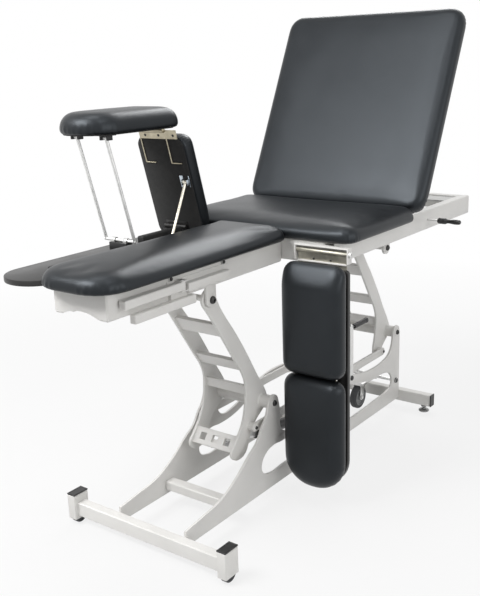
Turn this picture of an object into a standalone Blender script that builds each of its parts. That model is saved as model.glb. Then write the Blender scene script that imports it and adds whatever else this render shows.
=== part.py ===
# Powered chiropractic treatment table: welded base, two parallel lift arms, a seat with a tilting
# backrest, a fixed centre leg rest and two split side leg sections, each with a folding thigh and
# calf pad.  Metres, +Z up.  Sizes are given in a shop frame: X runs from the foot posts towards the
# head end, Y across the table with the near side negative, Z up from the floor.
import math

import bmesh
import bpy
from mathutils import Matrix, Vector

CLEAR = 0.0003                  # running gap between pieces that touch
SIDES = {"near": -1, "far": 1}

# Top of the table
TABLE_HALF_WIDTH = 0.343
DECK_Z = 0.812                  # underside of the seat and leg rest
LEG_TIP_X = -0.232
SEAT_FOOT_X = 0.550
SEAT_HEAD_X = 0.985
SEAT_BOARD = 0.012
SEAT_FOAM = 0.048
SEAT_CORNER = 0.045
LEG_HALF_WIDTH = 0.132
LEG_FOAM = 0.056
LEG_CORNER = 0.075
LEG_SEAT_GAP = 0.008

# Upper frame
CHANNEL_FOOT_X = -0.186
CHANNEL_HALF_WIDTH = 0.0945
CHANNEL_DEPTH = 0.075
CHANNEL_WALL = 0.004
CHANNEL_ARCH = 0.016
RAIL_FOOT_X = 0.5635
RAIL_HEAD_X = 1.572
RAIL_OUTER_Y = 0.282
RAIL_WIDTH = 0.035
RAIL_DEPTH = 0.067
TUBE_WALL = 0.003
CROSS_WIDTH = 0.038
LUG_THICK = 0.008

# Lift linkage
PIVOT_FOOT = (0.454, 0.316)     # lower pivot of the foot arm, X and Z
PIVOT_SPACING = 0.833
TOP_PIN_DROP = 0.113            # upper pivots below the seat's underside
ARM_TOP = (-0.241, DECK_Z - TOP_PIN_DROP - PIVOT_FOOT[1])   # upper pivot from the lower one
ARM_DRAWN_RISE = 0.383          # rise that the arm's outline is drawn for
ARM_LINK = (-0.068, -0.062)     # tie link pivot from the lower one
ARM_TAIL = (-0.124, -0.126)     # actuator pivot from the lower one
ARM_OUTER_Y = 0.084
ARM_PLATE = 0.008
PIN_R = 0.012
TOP_PIN_R = 0.009
HUB_R = 0.021
LINK_HEIGHT = 0.028
LINK_INNER_Y = 0.098
LINK_PLATE = 0.008
LINK_PIN_R = 0.008
RUNG_THICK = 0.012

# Base
PLATE_OUTER_Y = 0.128
PLATE_THICK = 0.008
PLATE_BOTTOM_Z = 0.040
PIN_HEAD_R = 0.0165
PIN_HEAD = 0.006
POST_Y = 0.284
POST_LENGTH = 0.0567
POST_WIDTH = 0.0319
POST_BOTTOM_Z = 0.017
POST_TOP_Z = 0.0966
ROLLER_R = 0.024
ROLLER_WIDTH = 0.020
ROLLER_AXLE_R = 0.004
BAR_DEPTH = 0.045
BAR_BOTTOM_Z = 0.0266
FOOT_BAR_WIDTH = 0.032
HEAD_BAR_X = 1.3305
HEAD_BAR_WIDTH = 0.031
HEAD_BAR_HALF = 0.2587
LEVEL_FOOT_R = 0.020
LEVEL_FOOT_INSET = 0.030
TIE_X = 0.230
TIE_WIDTH = 0.035
TIE_BOTTOM_Z = 0.056
TIE_DEPTH = 0.030

# Lift actuator
MOTOR_PIVOT = (0.870, 0.100)
MOTOR_PIN_R = 0.005
ACTUATOR_TUBE_R = 0.019
ACTUATOR_ROD_R = 0.011
ACTUATOR_TUBE_END = 0.345
ACTUATOR_ROD_START = 0.245
ACTUATOR_LUG_Y = 0.012
FORK_GAP = 0.0015
FORK_PRONG = 0.006

# Transport castor
CASTOR_AXLE = (1.286, 0.120)
CASTOR_AXLE_R = 0.006
CASTOR_SWIVEL_X = 1.233
CASTOR_TRAIL = 0.015
CASTOR_R = 0.0455
CASTOR_WIDTH = 0.026
CASTOR_LIFT = 0.003             # height of the parked wheel above the floor
LEVER_PIVOT = (0.930, 0.245)
LEVER_HEIGHT = 0.185
LEVER_GRIP = 0.113
LEVER_GRIP_R = 0.010

# Backrest
BACK_HINGE = (1.035, DECK_Z + 0.010)
BACK_ANGLE = math.radians(64.0)
BACK_LENGTH = 0.725
BACK_BOARD = 0.012
BACK_FOAM = 0.052
BACK_CORNER = 0.055
BACK_PROP_REACH = 0.180
BACK_PROP_DROP = 0.0245
BACK_PROP_R = 0.008
BACK_KNUCKLE_R = 0.0095
BACK_PIN_R = 0.006
RELEASE_X = 1.198
RELEASE_Z = DECK_Z - 0.034
RELEASE_REACH = 0.405

# Side leg sections
LEG_HINGE = (0.549, DECK_Z - 0.026)
LEG_INNER_Y = 0.155
LEG_OUTER_Y = TABLE_HALF_WIDTH
LEG_LENGTH = 0.737
LEG_BOARD = 0.016
LEG_BOARD_START = 0.046
LEG_PIN_R = 0.007
LEAF_THICK = 0.0027
PAD_INNER_Y = 0.165
PAD_HINGE_Z = 0.044             # hinge line of the pads above the section's own hinge
PAD_LIFT = 0.010                # pads' boards above that line
PAD_BOARD = 0.008
THIGH_START = 0.064             # thigh hinge from the section's hinge
THIGH_OVERHANG = 0.044
THIGH_LENGTH = 0.322            # hinge to knee
THIGH_FOAM = 0.043
PAD_SPLIT = 0.018               # end of the thigh pad before the knee
CALF_START = 0.010
CALF_REACH = 0.351
CALF_FOAM = 0.053
PAD_BARREL_R = 0.0075
PAD_BARREL_HALF = 0.045
ROD_FOOT = 0.254                # calf rods' foot from the thigh hinge
ROD_Y = 0.260
ROD_SPREAD = 0.058
ROD_R = 0.005
THIGH_RAISE = math.radians(74.3)
PROP_REACH = 0.155
PROP_LENGTH = 0.192
PROP_FOLDED = math.radians(7.2)
PROP_RAISED = math.radians(64.3)
PROP_R = 0.0045
PROP_KNUCKLE_R = 0.006
PROP_Y = 0.178
BRACKET_INNER_Y = 0.155
BRACKET_OUTER_Y = 0.338
BRACKET_FOOT_X = 0.541
BRACKET_BOTTOM_Z = DECK_Z - 0.055
BRACKET_TOP_Z = DECK_Z - 0.008
BRACKET_WALL = 0.004

# Swing-out supports beside the channel
SUPPORT_PIVOT_X = 0.072
SUPPORT_LENGTH = 0.222
SUPPORT_WIDTH = 0.022
SUPPORT_BOTTOM_Z = DECK_Z - 0.050
SUPPORT_TOP_Z = SUPPORT_BOTTOM_Z + 0.0233
SUPPORT_INNER_Y = 0.0985
SUPPORT_PIN_R = 0.004

# The bounding box's centre is the origin, so the shop frame is shifted by this much.
MID_X = (LEG_TIP_X + RAIL_HEAD_X) / 2
MID_Y = (TABLE_HALF_WIDTH - RELEASE_REACH) / 2

for old in list(bpy.data.objects):
    bpy.data.objects.remove(old, do_unlink=True)

PARTS = bpy.data.collections.new("chiropractic_table")
TOOLS = bpy.data.collections.new("cutters")
bpy.context.scene.collection.children.link(PARTS)
bpy.context.scene.collection.children.link(TOOLS)


def make_material(name, colour, roughness, metallic=0.0):
    material = bpy.data.materials.new(name)
    material.use_nodes = True
    shader = material.node_tree.nodes["Principled BSDF"]
    shader.inputs["Base Color"].default_value = (*colour, 1.0)
    shader.inputs["Roughness"].default_value = roughness
    shader.inputs["Metallic"].default_value = metallic
    return material


WHITE = make_material("powder_coat", (0.80, 0.79, 0.76), 0.45)
VINYL = make_material("black_vinyl", (0.025, 0.028, 0.032), 0.38)
BOARD = make_material("black_board", (0.018, 0.018, 0.019), 0.6)
BLACK = make_material("black_plastic", (0.015, 0.015, 0.016), 0.5)
ZINC = make_material("zinc_steel", (0.62, 0.60, 0.55), 0.35, 1.0)
GREY = make_material("grey_rubber", (0.16, 0.17, 0.18), 0.6)
COVER = make_material("grey_cover", (0.42, 0.43, 0.44), 0.5)


def empty(name, at, parent=None, turn=0.0):
    # A joint's empty: children of it are placed from the joint's axis.
    frame = bpy.data.objects.new(name, None)
    PARTS.objects.link(frame)
    frame.location = at
    frame.rotation_euler = (0.0, turn, 0.0)
    frame.parent = parent
    return frame


def raw(mesh):
    # A loose working object for one shape, used up by the part it goes into.
    shape = bpy.data.objects.new(mesh.name, mesh)
    TOOLS.objects.link(shape)
    shape.hide_render = True
    shape.display_type = "WIRE"
    return shape


def from_bmesh(bm, name="shape"):
    bmesh.ops.recalc_face_normals(bm, faces=bm.faces)
    mesh = bpy.data.meshes.new(name)
    bm.to_mesh(mesh)
    bm.free()
    return raw(mesh)


def evaluated_mesh(shape):
    bpy.context.view_layer.update()
    depsgraph = bpy.context.evaluated_depsgraph_get()
    return bpy.data.meshes.new_from_object(shape.evaluated_get(depsgraph))


def applied(shape):
    # The shape as its modifiers leave it, in place of the shape.
    mesh = evaluated_mesh(shape)
    bpy.data.objects.remove(shape, do_unlink=True)
    return raw(mesh)


def box(low, high, round_edges=0.0):
    bm = bmesh.new()
    size = [b - a for a, b in zip(low, high)]
    middle = [(a + b) / 2 for a, b in zip(low, high)]
    matrix = Matrix.Translation(middle) @ Matrix.Diagonal((*size, 1.0))
    bmesh.ops.create_cube(bm, size=1.0, matrix=matrix)
    shape = from_bmesh(bm)
    if round_edges:
        bevel = shape.modifiers.new("round", "BEVEL")
        bevel.width = round_edges
        bevel.segments = 1
        shape = applied(shape)
    return shape


def mirrored_box(side, low, high, round_edges=0.0):
    # A box whose Y limits are distances from the centre plane, on the given side.
    ys = sorted((side * low[1], side * high[1]))
    return box((low[0], ys[0], low[2]), (high[0], ys[1], high[2]), round_edges)


def rod(start, end, radius, segments=16):
    start, end = Vector(start), Vector(end)
    along = end - start
    turn = along.to_track_quat("Z", "Y").to_matrix().to_4x4()
    bm = bmesh.new()
    matrix = Matrix.Translation((start + end) / 2) @ turn
    bmesh.ops.create_cone(bm, cap_ends=True, segments=segments, radius1=radius, radius2=radius,
                          depth=along.length, matrix=matrix)
    return from_bmesh(bm)


def cross_rod(at, low_y, high_y, radius, segments=14):
    # A rod along Y through the point (x, z).
    return rod((at[0], low_y, at[1]), (at[0], high_y, at[1]), radius, segments)


def turned(profile, segments=16):
    # A profile of (radius, height) points from the top down, turned about Z.
    mesh = bpy.data.meshes.new("turned")
    points = [(radius, 0.0, height) for radius, height in profile]
    mesh.from_pydata(points, [(i, i + 1) for i in range(len(points) - 1)], [])
    shape = raw(mesh)
    screw = shape.modifiers.new("turn", "SCREW")
    screw.steps = segments
    screw.render_steps = segments
    screw.use_merge_vertices = True
    screw.merge_threshold = 0.00001
    return applied(shape)


def turned_ring(profile, segments=24):
    # A closed profile of (radius, height) points, turned into a ring with a bore.
    mesh = bpy.data.meshes.new("ring")
    points = [(radius, 0.0, height) for radius, height in profile]
    last = len(points)
    mesh.from_pydata(points, [(i, (i + 1) % last) for i in range(last)], [])
    shape = raw(mesh)
    screw = shape.modifiers.new("turn", "SCREW")
    screw.steps = segments
    screw.render_steps = segments
    screw.use_merge_vertices = True
    screw.merge_threshold = 0.00001
    return applied(shape)


def moved(shape, at=(0.0, 0.0, 0.0), turn=None):
    matrix = Matrix.Translation(at)
    if turn is not None:
        matrix = matrix @ turn
    shape.data.transform(matrix)
    return shape


LIE_ALONG_Y = Matrix.Rotation(math.radians(90.0), 4, "X")


def profile_plate(outlines, low_y, high_y, smooth=True, resolution=2):
    # A flat plate in the XZ plane: the first outline is its edge, the others are holes.
    curve = bpy.data.curves.new("outline", "CURVE")
    curve.dimensions = "2D"
    curve.fill_mode = "BOTH"
    curve.extrude = (high_y - low_y) / 2
    curve.resolution_u = resolution if smooth else 1
    for outline in outlines:
        spline = curve.splines.new("BEZIER")
        spline.bezier_points.add(len(outline) - 1)
        spline.use_cyclic_u = True
        for knot, point in zip(spline.bezier_points, outline):
            knot.co = (point[0], point[1], 0.0)
            corner = len(point) > 2 or not smooth
            knot.handle_left_type = "VECTOR" if corner else "AUTO"
            knot.handle_right_type = "VECTOR" if corner else "AUTO"
    shape = bpy.data.objects.new("outline", curve)
    TOOLS.objects.link(shape)
    mesh = evaluated_mesh(shape)
    bpy.data.objects.remove(shape, do_unlink=True)
    bm = bmesh.new()
    bm.from_mesh(mesh)
    bmesh.ops.remove_doubles(bm, verts=bm.verts, dist=0.00001)
    plate = from_bmesh(bm)
    return moved(plate, (0.0, (low_y + high_y) / 2, 0.0), LIE_ALONG_Y)


def circle(at, radius, points=8):
    return [(at[0] + radius * math.cos(math.tau * i / points),
             at[1] + radius * math.sin(math.tau * i / points)) for i in range(points)]


def combine(shapes, operation):
    first = shapes[0]
    for other in shapes[1:]:
        boolean = first.modifiers.new("combine", "BOOLEAN")
        boolean.operation = operation
        boolean.solver = "EXACT"
        boolean.object = other
    result = applied(first)
    for other in shapes[1:]:
        bpy.data.objects.remove(other, do_unlink=True)
    return result


def fused(*shapes):
    return combine(shapes, "UNION")


def cut(shape, *tools):
    return combine((shape, *tools), "DIFFERENCE")


def part(name, shape, material, frame, smooth=True):
    # The finished sub-part, placed from its frame.
    shape.name = name
    shape.data.name = name
    TOOLS.objects.unlink(shape)
    PARTS.objects.link(shape)
    shape.hide_render = False
    shape.display_type = "TEXTURED"
    shape.data.materials.clear()
    shape.data.materials.append(material)
    shape.parent = frame
    if smooth:
        shape.data.shade_smooth()
        shape.data.set_sharp_from_angle(angle=math.radians(35.0))
    return shape


def hollow_bar(low, high, axis, round_edges=0.0025):
    # A rectangular tube, open at both ends along the given axis.
    inner_low = [a + TUBE_WALL for a in low]
    inner_high = [b - TUBE_WALL for b in high]
    inner_low[axis] = low[axis] - TUBE_WALL
    inner_high[axis] = high[axis] + TUBE_WALL
    return cut(box(low, high, round_edges), box(inner_low, inner_high))


def rounded_outline(low, high, corners, inset, side_points=3, corner_points=5, draw=0.003):
    # A rounded rectangle, counter-clockwise from the low X, low Y corner, with its sides drawn in.
    # corners: radius at (low, low), (high, low), (high, high), (low, high).
    low_x, low_y = low[0] + inset, low[1] + inset
    high_x, high_y = high[0] - inset, high[1] - inset
    places = ((low_x, low_y, 180.0), (high_x, low_y, 270.0), (high_x, high_y, 0.0), (low_x, high_y, 90.0))
    arcs = []
    for (x, y, start), radius in zip(places, corners):
        radius = max(radius - inset, 0.004)
        centre_x = x + radius if x == low_x else x - radius
        centre_y = y + radius if y == low_y else y - radius
        angles = [math.radians(start + 90.0 * i / (corner_points - 1)) for i in range(corner_points)]
        arcs.append([(centre_x + radius * math.cos(a), centre_y + radius * math.sin(a)) for a in angles])
    points = []
    for i, arc in enumerate(arcs):
        points += arc
        ahead = arcs[(i + 1) % 4][0]
        run = Vector(ahead) - Vector(arc[-1])
        inward = Vector((-run.y, run.x)).normalized() if run.length > 0.02 else Vector((0.0, 0.0))
        for k in range(1, side_points + 1):
            t = k / (side_points + 1)
            points.append(tuple(Vector(arc[-1]) + run * t + inward * draw * 4 * t * (1 - t)))
    return points


def cushion(low, high, bottom, thick, corners, crown=0.4):
    # A crowned pad: rings of a rounded outline from its underside to its top.
    reach = min(high[0] - low[0], high[1] - low[1]) / 2
    steps = [(0.010, 0.0), (0.0, 0.30), (0.003, 0.60), (0.012, 0.80),
             (0.028, 0.91), (reach * crown, 0.97), (reach * 0.72, 1.0)]
    bm = bmesh.new()
    rings = []
    for inset, level in steps:
        outline = rounded_outline(low, high, corners, inset)
        rings.append([bm.verts.new((x, y, bottom + level * thick)) for x, y in outline])
    for lower, upper in zip(rings, rings[1:]):
        count = len(lower)
        for i in range(count):
            j = (i + 1) % count
            bm.faces.new((lower[i], lower[j], upper[j], upper[i]))
    bmesh.ops.contextual_create(bm, geom=rings[0])
    bmesh.ops.contextual_create(bm, geom=rings[-1])
    return from_bmesh(bm)


def board(low, high, bottom, thick, corners):
    # A flat panel with rounded corners.
    outline = rounded_outline(low, high, corners, 0.0, side_points=0, draw=0.0)
    bm = bmesh.new()
    ring = [bm.verts.new((x, y, bottom)) for x, y in outline]
    bmesh.ops.contextual_create(bm, geom=ring)
    lifted = bmesh.ops.extrude_face_region(bm, geom=list(bm.faces))["geom"]
    raised = [item for item in lifted if isinstance(item, bmesh.types.BMVert)]
    bmesh.ops.translate(bm, verts=raised, vec=(0.0, 0.0, thick))
    return from_bmesh(bm)


def span(side, inner, outer):
    return sorted((side * inner, side * outer))


ROOT = empty("table_origin", (-MID_X, -MID_Y, 0.0))
PIVOT_HEAD = (PIVOT_FOOT[0] + PIVOT_SPACING, PIVOT_FOOT[1])
PLATE_INNER_Y = PLATE_OUTER_Y - PLATE_THICK
BAR_TOP_Z = BAR_BOTTOM_Z + BAR_DEPTH
FOOT_BAR_HEAD_X = FOOT_BAR_WIDTH / 2
HEAD_BAR_FOOT_X = HEAD_BAR_X - HEAD_BAR_WIDTH / 2


def around(centre, radius, start, end, count):
    # Points on an arc, by its angles in degrees, for the round end of an outline.
    return [(centre[0] + radius * math.cos(math.radians(start + (end - start) * i / (count - 1))),
             centre[1] + radius * math.sin(math.radians(start + (end - start) * i / (count - 1))))
            for i in range(count)]


def build_base_plates():
    foot_x = FOOT_BAR_HEAD_X + CLEAR
    head_x = HEAD_BAR_FOOT_X - CLEAR
    horn = 0.026
    edge = [(foot_x, PLATE_BOTTOM_Z, 1), (foot_x, 0.086, 1), (0.087, 0.095), (0.183, 0.111), (0.255, 0.146),
            (0.320, 0.191), (0.364, 0.220), (0.387, 0.252), (0.412, 0.281)]
    edge += around(PIVOT_FOOT, horn, 170.0, 10.0, 6)
    edge += [(0.4885, 0.280), (0.490, 0.225), (0.512, 0.203), (0.570, 0.205), (0.660, 0.235), (0.750, 0.260),
             (0.832, 0.267), (0.915, 0.259), (1.026, 0.2335), (1.109, 0.2255), (1.181, 0.230),
             (1.230, 0.246), (1.253, 0.276)]
    edge += around(PIVOT_HEAD, horn, 175.0, 30.0, 6)
    edge += [(head_x, 0.300, 1), (head_x, PLATE_BOTTOM_Z, 1)]
    window = [(0.500, 0.173), (0.445, 0.176), (0.408, 0.165), (0.386, 0.140), (0.388, 0.110), (0.417, 0.093),
              (0.506, 0.0915), (0.944, 0.0885), (1.130, 0.094), (1.215, 0.099), (1.246, 0.108),
              (1.254, 0.132), (1.242, 0.157), (1.212, 0.174), (1.096, 0.184), (1.004, 0.200), (0.915, 0.222),
              (0.832, 0.2335), (0.750, 0.224), (0.660, 0.203), (0.575, 0.179)]
    holes = [circle(PIVOT_FOOT, PIN_R + CLEAR), circle(PIVOT_HEAD, PIN_R + CLEAR),
             circle(CASTOR_AXLE, CASTOR_AXLE_R + CLEAR)]
    for name, side in SIDES.items():
        low, high = span(side, PLATE_INNER_Y, PLATE_OUTER_Y)
        plate = profile_plate([edge, window, *holes], low, high)
        part(f"base_plate_{name}", plate, WHITE, ROOT)


def build_foot_end():
    # Two posts welded to a crossbar; the bar's hollow runs into the posts', which are open below.
    half = POST_LENGTH / 2
    bar_half = FOOT_BAR_WIDTH / 2
    wall = TUBE_WALL
    solids = [box((-bar_half, -POST_Y, BAR_BOTTOM_Z), (bar_half, POST_Y, BAR_TOP_Z), 0.003)]
    hollows = [box((wall - bar_half, -POST_Y, BAR_BOTTOM_Z + wall), (bar_half - wall, POST_Y, BAR_TOP_Z - wall))]
    axles = []
    for name, side in SIDES.items():
        middle = side * POST_Y
        low_y, high_y = middle - POST_WIDTH / 2, middle + POST_WIDTH / 2
        solids.append(box((-half, low_y, POST_BOTTOM_Z), (half, high_y, POST_TOP_Z), 0.003))
        hollows.append(box((wall - half, low_y + wall, POST_BOTTOM_Z - wall),
                           (half - wall, high_y - wall, POST_TOP_Z - wall)))
        axles.append(cross_rod((0.0, ROLLER_R), low_y + wall / 2, high_y - wall / 2, ROLLER_AXLE_R))
        hub = empty(f"roller_axis_{name}", (0.0, middle, ROLLER_R), ROOT)
        face = ROLLER_WIDTH / 2
        bore = ROLLER_AXLE_R + CLEAR
        rim = [(bore, face), (ROLLER_R - 0.003, face), (ROLLER_R, face - 0.003),
               (ROLLER_R, 0.003 - face), (ROLLER_R - 0.003, -face), (bore, -face)]
        part(f"foot_roller_{name}", moved(turned_ring(rim, 18), turn=LIE_ALONG_Y), GREY, hub)
    frame = cut(fused(*solids), *hollows)
    part("foot_crossbar", fused(frame, *axles), WHITE, ROOT)


def build_head_end():
    half = HEAD_BAR_WIDTH / 2
    bar = hollow_bar((HEAD_BAR_X - half, -HEAD_BAR_HALF, BAR_BOTTOM_Z),
                     (HEAD_BAR_X + half, HEAD_BAR_HALF, BAR_TOP_Z), 1)
    part("head_crossbar", bar, WHITE, ROOT)
    for name, side in SIDES.items():
        screw = empty(f"level_axis_{name}", (HEAD_BAR_X, side * (HEAD_BAR_HALF - LEVEL_FOOT_INSET), 0.0), ROOT)
        top = BAR_BOTTOM_Z - CLEAR
        stem = 0.006
        profile = [(0.0, top), (0.011, top), (0.011, top - 0.006), (stem, top - 0.006), (stem, 0.011),
                   (LEVEL_FOOT_R * 0.6, 0.008), (LEVEL_FOOT_R, 0.004), (LEVEL_FOOT_R, 0.0), (0.0, 0.0)]
        part(f"level_foot_{name}", turned(profile), ZINC, screw)


def build_base_ties():
    low_y, high_y = -PLATE_INNER_Y + CLEAR, PLATE_INNER_Y - CLEAR
    tie = hollow_bar((TIE_X - TIE_WIDTH / 2, low_y, TIE_BOTTOM_Z),
                     (TIE_X + TIE_WIDTH / 2, high_y, TIE_BOTTOM_Z + TIE_DEPTH), 1)
    part("base_tie", tie, WHITE, ROOT)
    bar_half = 0.0175
    bar_top = 0.082
    bar = hollow_bar((MOTOR_PIVOT[0] - bar_half, low_y, 0.045), (MOTOR_PIVOT[0] + bar_half, high_y, bar_top), 1)
    eye = 0.0155 + CLEAR
    cheek = 0.006
    lugs = []
    for side in SIDES.values():
        low, high = span(side, eye, eye + cheek)
        foot = [(MOTOR_PIVOT[0] - 0.013, bar_top - 0.002), (MOTOR_PIVOT[0] + 0.013, bar_top - 0.002)]
        lugs.append(profile_plate([foot + around(MOTOR_PIVOT, 0.012, 0.0, 180.0, 7)], low, high, smooth=False))
    pin = cross_rod(MOTOR_PIVOT, -eye - cheek / 2, eye + cheek / 2, MOTOR_PIN_R)
    part("actuator_mount", fused(bar, *lugs, pin), WHITE, ROOT)


def headed_pin(half, radius, head_r, head, at=(0.0, 0.0)):
    # A headed pin along Y, its heads outside the plates it joins.
    outer = half + CLEAR + head
    inner = half + CLEAR
    profile = [(0.0, outer), (head_r, outer), (head_r, inner), (radius, inner),
               (radius, -inner), (head_r, -inner), (head_r, -outer), (0.0, -outer)]
    return moved(turned(profile), (at[0], 0.0, at[1]), LIE_ALONG_Y)


def pivot_pin(name, at, half, radius, head_r, head, frame):
    part(name, headed_pin(half, radius, head_r, head, at), BLACK, frame)


def slab(start, end, thick, half_y):
    # A flat bar across the arm: its section runs from start to end in XZ, thick to the right of that.
    start, end = Vector(start), Vector(end)
    along = (end - start).normalized()
    across = Vector((-along.y, along.x)) * thick
    outline = [start, end, end + across, start + across]
    return profile_plate([[tuple(p) for p in outline]], -half_y, half_y, smooth=False)


def stretched(points):
    # Points of the arm above its lower pivot, drawn for a rise of ARM_DRAWN_RISE, for the arm's own rise.
    ratio = ARM_TOP[1] / ARM_DRAWN_RISE
    return [(x, z * ratio) for x, z in points]


def arm_outline(tail):
    # The arm's edge from its top pivot down the head side and back up the foot side.
    top = around(ARM_TOP, 0.029, 215.0, 20.0, 6)
    head_edge = [(-0.189, 0.345), (-0.119, 0.248), (-0.069, 0.172), (-0.022, 0.094), (0.012, 0.042)]
    elbow = around((0.0, 0.0), 0.029, 20.0, -70.0, 4)
    foot_edge = [(-0.089, -0.006), (-0.081, 0.046), (-0.083, 0.085), (-0.096, 0.117), (-0.124, 0.159),
                 (-0.172, 0.232), (-0.218, 0.302), (-0.252, 0.350)]
    return top + stretched(head_edge) + elbow + tail + foot_edge[:1] + stretched(foot_edge[1:])


LONG_TAIL = [(-0.040, -0.060), (-0.064, -0.088), (-0.076, -0.117), (-0.092, -0.141), (-0.120, -0.151),
             (-0.150, -0.144), (-0.164, -0.122), (-0.142, -0.093), (-0.104, -0.045)]
SHORT_TAIL = [(-0.036, -0.062), (-0.050, -0.084), (-0.072, -0.091), (-0.093, -0.080), (-0.100, -0.052)]
RUNGS = (((-0.205, 0.296), (-0.178, 0.253)), ((-0.119, 0.161), (-0.095, 0.125)),
         ((-0.072, 0.068), (-0.072, 0.040)))


def build_arm(name, frame, tail, with_tail_lug):
    inner = ARM_OUTER_Y - ARM_PLATE
    shapes = []
    for side in SIDES.values():
        low, high = span(side, inner, ARM_OUTER_Y)
        shapes.append(profile_plate([arm_outline(tail)], low, high))
        face = side * (ARM_OUTER_Y - ARM_PLATE / 2)
        boss_end = side * (LINK_INNER_Y - CLEAR)
        pin_end = side * (LINK_INNER_Y + LINK_PLATE + CLEAR)
        head_end = side * (LINK_INNER_Y + LINK_PLATE + CLEAR + 0.004)
        shapes.append(cross_rod(ARM_LINK, *sorted((face, boss_end)), LINK_PIN_R * 1.6, 10))
        shapes.append(cross_rod(ARM_LINK, *sorted((face, head_end)), LINK_PIN_R, 10))
        shapes.append(cross_rod(ARM_LINK, *sorted((pin_end, head_end)), LINK_PIN_R * 1.4, 10))
    hub = PLATE_INNER_Y - CLEAR
    shapes.append(cross_rod((0.0, 0.0), -hub, hub, HUB_R, 16))
    reach = inner + ARM_PLATE / 2
    for rung in RUNGS:
        shapes.append(slab(*stretched(rung), RUNG_THICK, reach))
    if with_tail_lug:
        start, end = Vector((-0.122, -0.078)), Vector((-0.154, -0.120))
        piece = slab(start, end, RUNG_THICK, reach)
        middle = (start + end) / 2
        along = (end - start).normalized()
        turn = Matrix.Rotation(math.atan2(-along.y, along.x), 4, "Y")
        window = 0.011
        tools = []
        for offset in (-0.046, 0.0, 0.046):
            tool = box((-window, -window, -0.05), (window, window, 0.05))
            tools.append(moved(tool, (middle.x, offset, middle.y), turn))
        shapes.append(cut(piece, *tools))
        lug_end = around(ARM_TAIL, 0.013, -80.0, 100.0, 7)
        outline = [(-0.131, -0.104), (-0.145, -0.122)] + lug_end
        lug = profile_plate([outline], -ACTUATOR_LUG_Y, ACTUATOR_LUG_Y, smooth=False)
        shapes.append(lug)
    arm = fused(*shapes)
    bore = cross_rod((0.0, 0.0), -0.2, 0.2, PIN_R + CLEAR, 16)
    top_bore = cross_rod(ARM_TOP, -0.2, 0.2, TOP_PIN_R + CLEAR)
    part(name, cut(arm, bore, top_bore), WHITE, frame)


def build_links(frame):
    # Tie bars between the two arms' tails, one on each side.
    half = LINK_HEIGHT / 2
    outline = around((0.0, 0.0), half, 90.0, 270.0, 9) + around((PIVOT_SPACING, 0.0), half, -90.0, 90.0, 9)
    holes = [circle((0.0, 0.0), LINK_PIN_R + CLEAR), circle((PIVOT_SPACING, 0.0), LINK_PIN_R + CLEAR)]
    corners = [(x, z, 1) for x, z in outline]
    for name, side in SIDES.items():
        low, high = span(side, LINK_INNER_Y, LINK_INNER_Y + LINK_PLATE)
        part(f"tie_link_{name}", profile_plate([corners, *holes], low, high), WHITE, frame)


def build_actuator(frame, slide):
    # Built along -X from its rear pivot, then turned with its frame to meet the arm's tail.
    eye = cross_rod((0.0, 0.0), -0.0155, 0.0155, 0.012)
    neck = box((-0.060, -0.0125, -0.008), (-0.004, 0.0125, 0.008))
    tube = rod((-ACTUATOR_TUBE_END, 0.0, 0.0), (-0.035, 0.0, 0.0), ACTUATOR_TUBE_R, 24)
    motor = box((-0.130, -0.026, 0.010), (-0.045, 0.026, 0.078), 0.006)
    bore = rod((-ACTUATOR_TUBE_END - 0.01, 0.0, 0.0), (-0.066, 0.0, 0.0), ACTUATOR_ROD_R + CLEAR, 20)
    pivot = cross_rod((0.0, 0.0), -0.05, 0.05, MOTOR_PIN_R + CLEAR)
    part("actuator_body", cut(fused(tube, motor, neck, eye), bore, pivot), BLACK, frame)
    tail = Vector(PIVOT_FOOT) + Vector(ARM_TAIL) - Vector(MOTOR_PIVOT)
    length = tail.length
    inner = ACTUATOR_LUG_Y + FORK_GAP
    outer = inner + FORK_PRONG
    base = length - 0.038
    shaft = rod((-base, 0.0, 0.0), (-ACTUATOR_ROD_START, 0.0, 0.0), ACTUATOR_ROD_R, 20)
    block = box((-base - 0.008, -outer, -0.011), (-base + 0.004, outer, 0.011))
    prongs = [mirrored_box(side, (-length - 0.010, inner, -0.010), (-base, outer, 0.010))
              for side in SIDES.values()]
    part("actuator_rod", fused(shaft, block, *prongs), ZINC, slide)


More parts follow.
